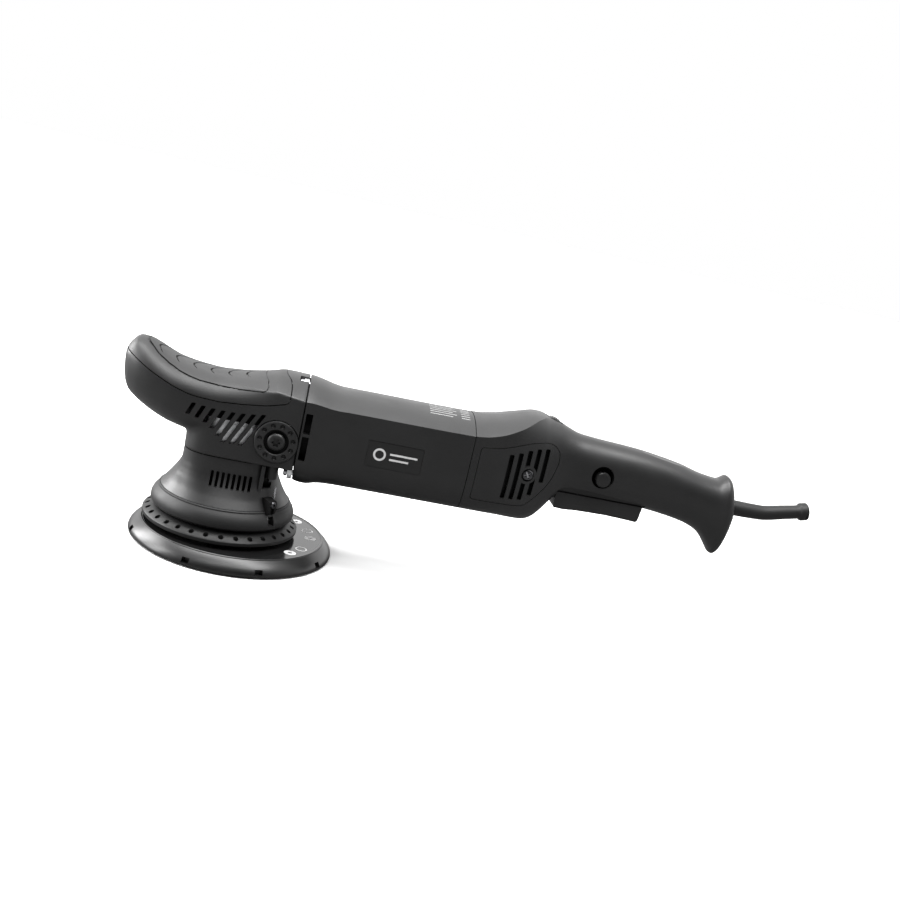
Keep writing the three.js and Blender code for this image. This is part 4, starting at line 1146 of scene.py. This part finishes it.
def build_brush_cover(skin, solid, side, name):
    """The slotted cover with its screw in a sunk boss, and a dark sheet close behind the slots, which is
    painted shade.
    """
    near, far = sorted((side * 6, side * 60))
    cover = common(copy_of(skin, "brush_cover_" + name), prism("plate", cover_outline(0), "y", near, far))
    for i, (low, high) in enumerate(((79.5, 113.8), (79.2, 115.8), (79.3, 118.4), (83.5, 120.1),
                                     (94.3, 120.7))):
        x = 197.6 + 6.95 * i
        slot = rectangle(x, x + 3.6, low, high, 0.8, 3)
        slot = prism("slot", slot, "y", near, far)
        cut(slot, turned_y("boss", [(7, 0), (7, 60)], COVER_SCREW_X, COVER_SCREW_Z, 48, side))
        cut(cover, slot)
    seat = abs(float(node_box("brush_cover_screw_left")[0][1])) - 2.5
    boss = turned_y("boss", [(6.6, seat - 3.5), (6.6, 60)], COVER_SCREW_X, COVER_SCREW_Z, 64, side)
    fuse(cover, common(boss, solid, keep=True))
    sink = [(2.3, 4), (2.3, seat), (4.9, seat + 0.05), (5.3, seat + 9)]
    cut(cover, turned_y("sink", sink, COVER_SCREW_X, COVER_SCREW_Z, 64, side))
    finished(cover, PLASTIC, node="brush_cover_" + name)
    head = [(1.8, 16.1), (1.8, seat + 0.1), (4.2, seat + 0.15), (4.3, seat + 1.4), (3.5, seat + 2.2),
            (2, seat + 2.5)]
    screw = turned_y("brush_cover_screw_" + name, head, COVER_SCREW_X, COVER_SCREW_Z, 40, side)
    for turn in (0.5, 0.5 + math.pi / 2):
        across = np.array([math.cos(turn), math.sin(turn)])
        along = np.array([-across[1], across[0]])
        bar = [tuple(np.array([COVER_SCREW_X, COVER_SCREW_Z]) + across * a + along * b)
               for a, b in ((-2.8, -0.55), (2.8, -0.55), (2.8, 0.55), (-2.8, 0.55))]
        y0, y1 = sorted((side * (seat + 1.2), side * (seat + 4)))
        cut(screw, prism("cross", bar, "y", y0, y1))
    finished(screw, DARK_STEEL, "root", "brush_cover_screw_" + name)
    also(screw, STEEL, lambda x, y, z, up: abs(y) < seat + 1.3 and abs(y) > seat + 1.1)
    # A dark sheet close behind the slots: painted shade, so the slots look black.
    shade_sheet = HANDLE.solid("vent_slot_shade_" + name, spaced(180, 233, 28), WALL + 1.2, 64)
    cut(shade_sheet, HANDLE.solid("within", spaced(178, 235, 28), WALL + 2.4, 64))
    y0, y1 = sorted((side * 9, side * 60))
    common(shade_sheet, block("half", 182, 231.5, y0, y1, 78, 123))
    cut(shade_sheet, turned_y("boss_way", [(7.2, 0), (7.2, 60)], COVER_SCREW_X, COVER_SCREW_Z, 48, side))
    finished(shade_sheet, DARK_PLASTIC_AND_PAINTED_SHADE)


# ---- Trigger, lock button and speed dial ----


def build_trigger():
    """A long paddle: its sides bow out a little below, and a rib runs along them near the top."""
    side = rounded([(243.8, 90), (243.8, 77), (244.4, 74.6), (252, 74.2), (264, 75.3), (285, 75.9),
                    (300, 75.4), (310.6, 74.8), (311.6, 76.2), (312.8, 86.8), (310.4, 89.6), (309.4, 95.6),
                    (254, 95.9), (246.2, 94.4)], 0.7, 4)
    made = prism("trigger", side, "y", -11.7, 11.7)
    slim = [(-14, 70), (-9.6, 70), (-11.7, 77), (-11.7, 87.4), (-10.6, 88.4), (-10.6, 99), (-14, 99)]
    for sign in (-1, 1):
        outline = [(sign * -y, z) for y, z in slim]
        cut(made, prism("side", outline, "x", 240, 318))
    inside = rectangle(254, 305, 80, 93.6, 1, 3)
    cut(made, prism("inside", inside, "y", -8, 8))
    fuse(made, turned_y("pivot", [(2.6, -11.8), (2.6, 11.8)], 250, 92, 32))
    finished(made, CONTROL, "trigger", "trigger")


def build_lock_button():
    dome = [(5.8, 12.5), (5.8, 18.6), (5.4, 19.3), (4.4, 19.7), (2, 19.9)]
    button = turned_y("lock_button", [(3, 12), (3, 12.5), *dome], LOCK_X, LOCK_Z, 64, -1)
    finished(button, CONTROL, "lock_button", "lock_button")


def build_dial():
    """A thumbwheel with a milled rim."""
    angles = np.linspace(0, 2 * math.pi, 288, endpoint=False)
    rings = []
    for y, drop in ((-4, 1.2), (-3.4, 0.2), (3.4, 0.2), (4, 1.2)):
        radius = [10.3 - drop - 0.45 * (0.5 + 0.5 * math.cos(36 * a)) for a in angles]
        rings.append([(DIAL_X + r * math.cos(a), y, DIAL_Z + r * math.sin(a))
                      for r, a in zip(radius, angles)])
    dial = ring_solid("speed_dial", rings)
    cut(dial, turned_y("bore", [(2, -6), (2, 6)], DIAL_X, DIAL_Z, 32))
    finished(dial, CONTROL, "speed_dial", "speed_dial")


# ---- Cable sleeve ----
SLEEVE_HEIGHT = smooth_line([[372, 98.4], [394, 98.4], [411, 98.7], [419, 99.9], [427, 101.8], [441, 104.9],
                             [450, 107]])
SLEEVE_RADIUS = smooth_line([[372.8, 8.4], [376.2, 8.4], [376.8, 6.5], [390, 6.1], [411, 5.8], [427, 5.6],
                             [440, 5.4], [441.4, 5.5], [442.2, 6.4], [442.9, 7], [447.6, 7], [448.4, 6.3]])


def sleeve_solid(name, stations, radius_at):
    rings = []
    for x in stations:
        tilt = math.atan2(SLEEVE_HEIGHT(x + 1) - SLEEVE_HEIGHT(x - 1), 2)
        radius = radius_at(x)
        rings.append([
            (x - radius * math.sin(a) * math.sin(tilt), radius * math.cos(a),
             SLEEVE_HEIGHT(x) + radius * math.sin(a) * math.cos(tilt))
            for a in np.linspace(0, 2 * math.pi, 56, endpoint=False)
        ])
    return ring_solid(name, rings)


def build_sleeve():
    stations = [372.8, 376.2, 376.8, *spaced(380, 440, 34), *spaced(441, 448, 14), 448.4]
    sleeve = sleeve_solid("cable_sleeve", stations, SLEEVE_RADIUS)
    mouth = smooth_line([[360, 4.2], [443, 4.2], [446.6, 4.9], [448.4, 5.8], [455, 6.4]])
    cut(sleeve, sleeve_solid("bore", [370, *spaced(380, 440, 20), *spaced(443, 452, 10)], mouth))
    finished(sleeve, RUBBER, "root", "cable_sleeve")
    also(sleeve, DARK_PLASTIC_AND_PAINTED_SHADE, lambda x, y, z, up: x > 446.5)


# ---- Backing plate ----


NOTCH_DEGREES = (20, 70, 110, 152, 200, 250, 290, 332)
MARK_DEGREES = (37, 17, 1, -26, -40)
MARK_Z = 11.13


def build_plate():
    face_radius = float(node_box("hook_face")[1][1])
    flare = [(face_radius + 0.3, 1.9), (face_radius + 0.3, 0.6), (PLATE_RADIUS - 0.7, 0.5),
             (PLATE_RADIUS - 0.1, 0.9), (PLATE_RADIUS, 1.6)]
    for t in np.linspace(0.1, 1, 12):
        flare.append((PLATE_RADIUS - 7.3 * t**1.55, 1.6 + 9.3 * t**0.86))
    top = [(68.3, 11.45), (67.8, 11.75), (67, 11.7), (66.4, 11.2), (40, 10.9), (34, 11.3), (26, 13.3),
           (9, 13.4), (4.3, 13.4), (4.3, 8.3), (8, 8.3), (8, 1.9)]
    plate = turned("backing_plate", flare + top, PLATE_X, sides=192, hollow=True)
    for degrees in NOTCH_DEGREES:
        notch = block("notch", PLATE_X + 71.5, PLATE_X + 79, -2.8, 2.8, 2.2, 6.2)
        cut(plate, turn_about_z(notch, degrees, PLATE_X))
    finished(plate, GLOSS, "pad", "backing_plate")
    also(plate, POLISHED, lambda x, y, z, up: z > 10.85 and up > 0.9)
    for i, degrees in enumerate(MARK_DEGREES):
        angle = math.radians(degrees)
        x, y = PLATE_X + 58.5 * math.cos(angle), 58.5 * math.sin(angle)
        mark = turned(f"plate_mark_{i + 1}", [(4.5, MARK_Z), (4.5, MARK_Z + 0.06)], x, y, 48)
        hole = 3.4 if i % 2 else 1.6
        cut(mark, turned("hole", [(hole, MARK_Z - 1), (hole, MARK_Z + 1)], x, y, 32))
        finished(mark, PRINT, "pad")

    face = [(8, 0.9), (8, 0.25), (8.5, 0), (face_radius - 0.5, 0), (face_radius, 0.5),
            (face_radius, 1.3), (face_radius - 0.3, 1.6), (8.3, 1.6)]
    finished(turned("hook_face", face, PLATE_X, sides=160, hollow=True), HOOK, "pad",
             "hook_face")
    bolt = turned("plate_bolt", [(6.6, 3), (7, 3.4), (7, 8), (3.9, 8.1), (3.9, 29)], PLATE_X, 0, 48)
    socket = prism("socket", hexagon(3, PLATE_X, 0), "z", 1, 6)
    finished(cut(bolt, socket), STEEL, "pad", "plate_bolt")


# ---- Materials for the CAD nodes that stay ----
SLOT_MATERIALS = {
    "black_plastic": DARK_PLASTIC_AND_PAINTED_SHADE, "soft_grip": SOFT_GRIP, "black_rubber": RUBBER,
    "control_plastic": CONTROL, "cast_aluminium": ALUMINIUM, "steel": STEEL,
    "core_steel": LAMINATED, "copper": COPPER, "hook_material": HOOK, "carbon": CARBON,
    "switch_plastic": DARK_PLASTIC_AND_PAINTED_SHADE, "circuit_board": CIRCUIT,
}


def dress_cad_nodes():
    slots = {row["node"]: row["material_slot"] for row in frame["record"]["subparts"]}
    for node, obj in frame["nodes"].items():
        if obj.hide_render:
            continue
        for place in obj.material_slots:
            place.link = "OBJECT"
            place.material = SLOT_MATERIALS[slots[node]]


build_head()
build_side_caps()
build_shroud()
build_collar()
build_clamp()
build_shroud_screws()
build_gear_case()
build_gear_case_cover()
build_motor_housing()
build_badges()
build_rating_label()
build_handle()
build_trigger()
build_lock_button()
build_dial()
build_sleeve()
build_plate()
dress_cad_nodes()
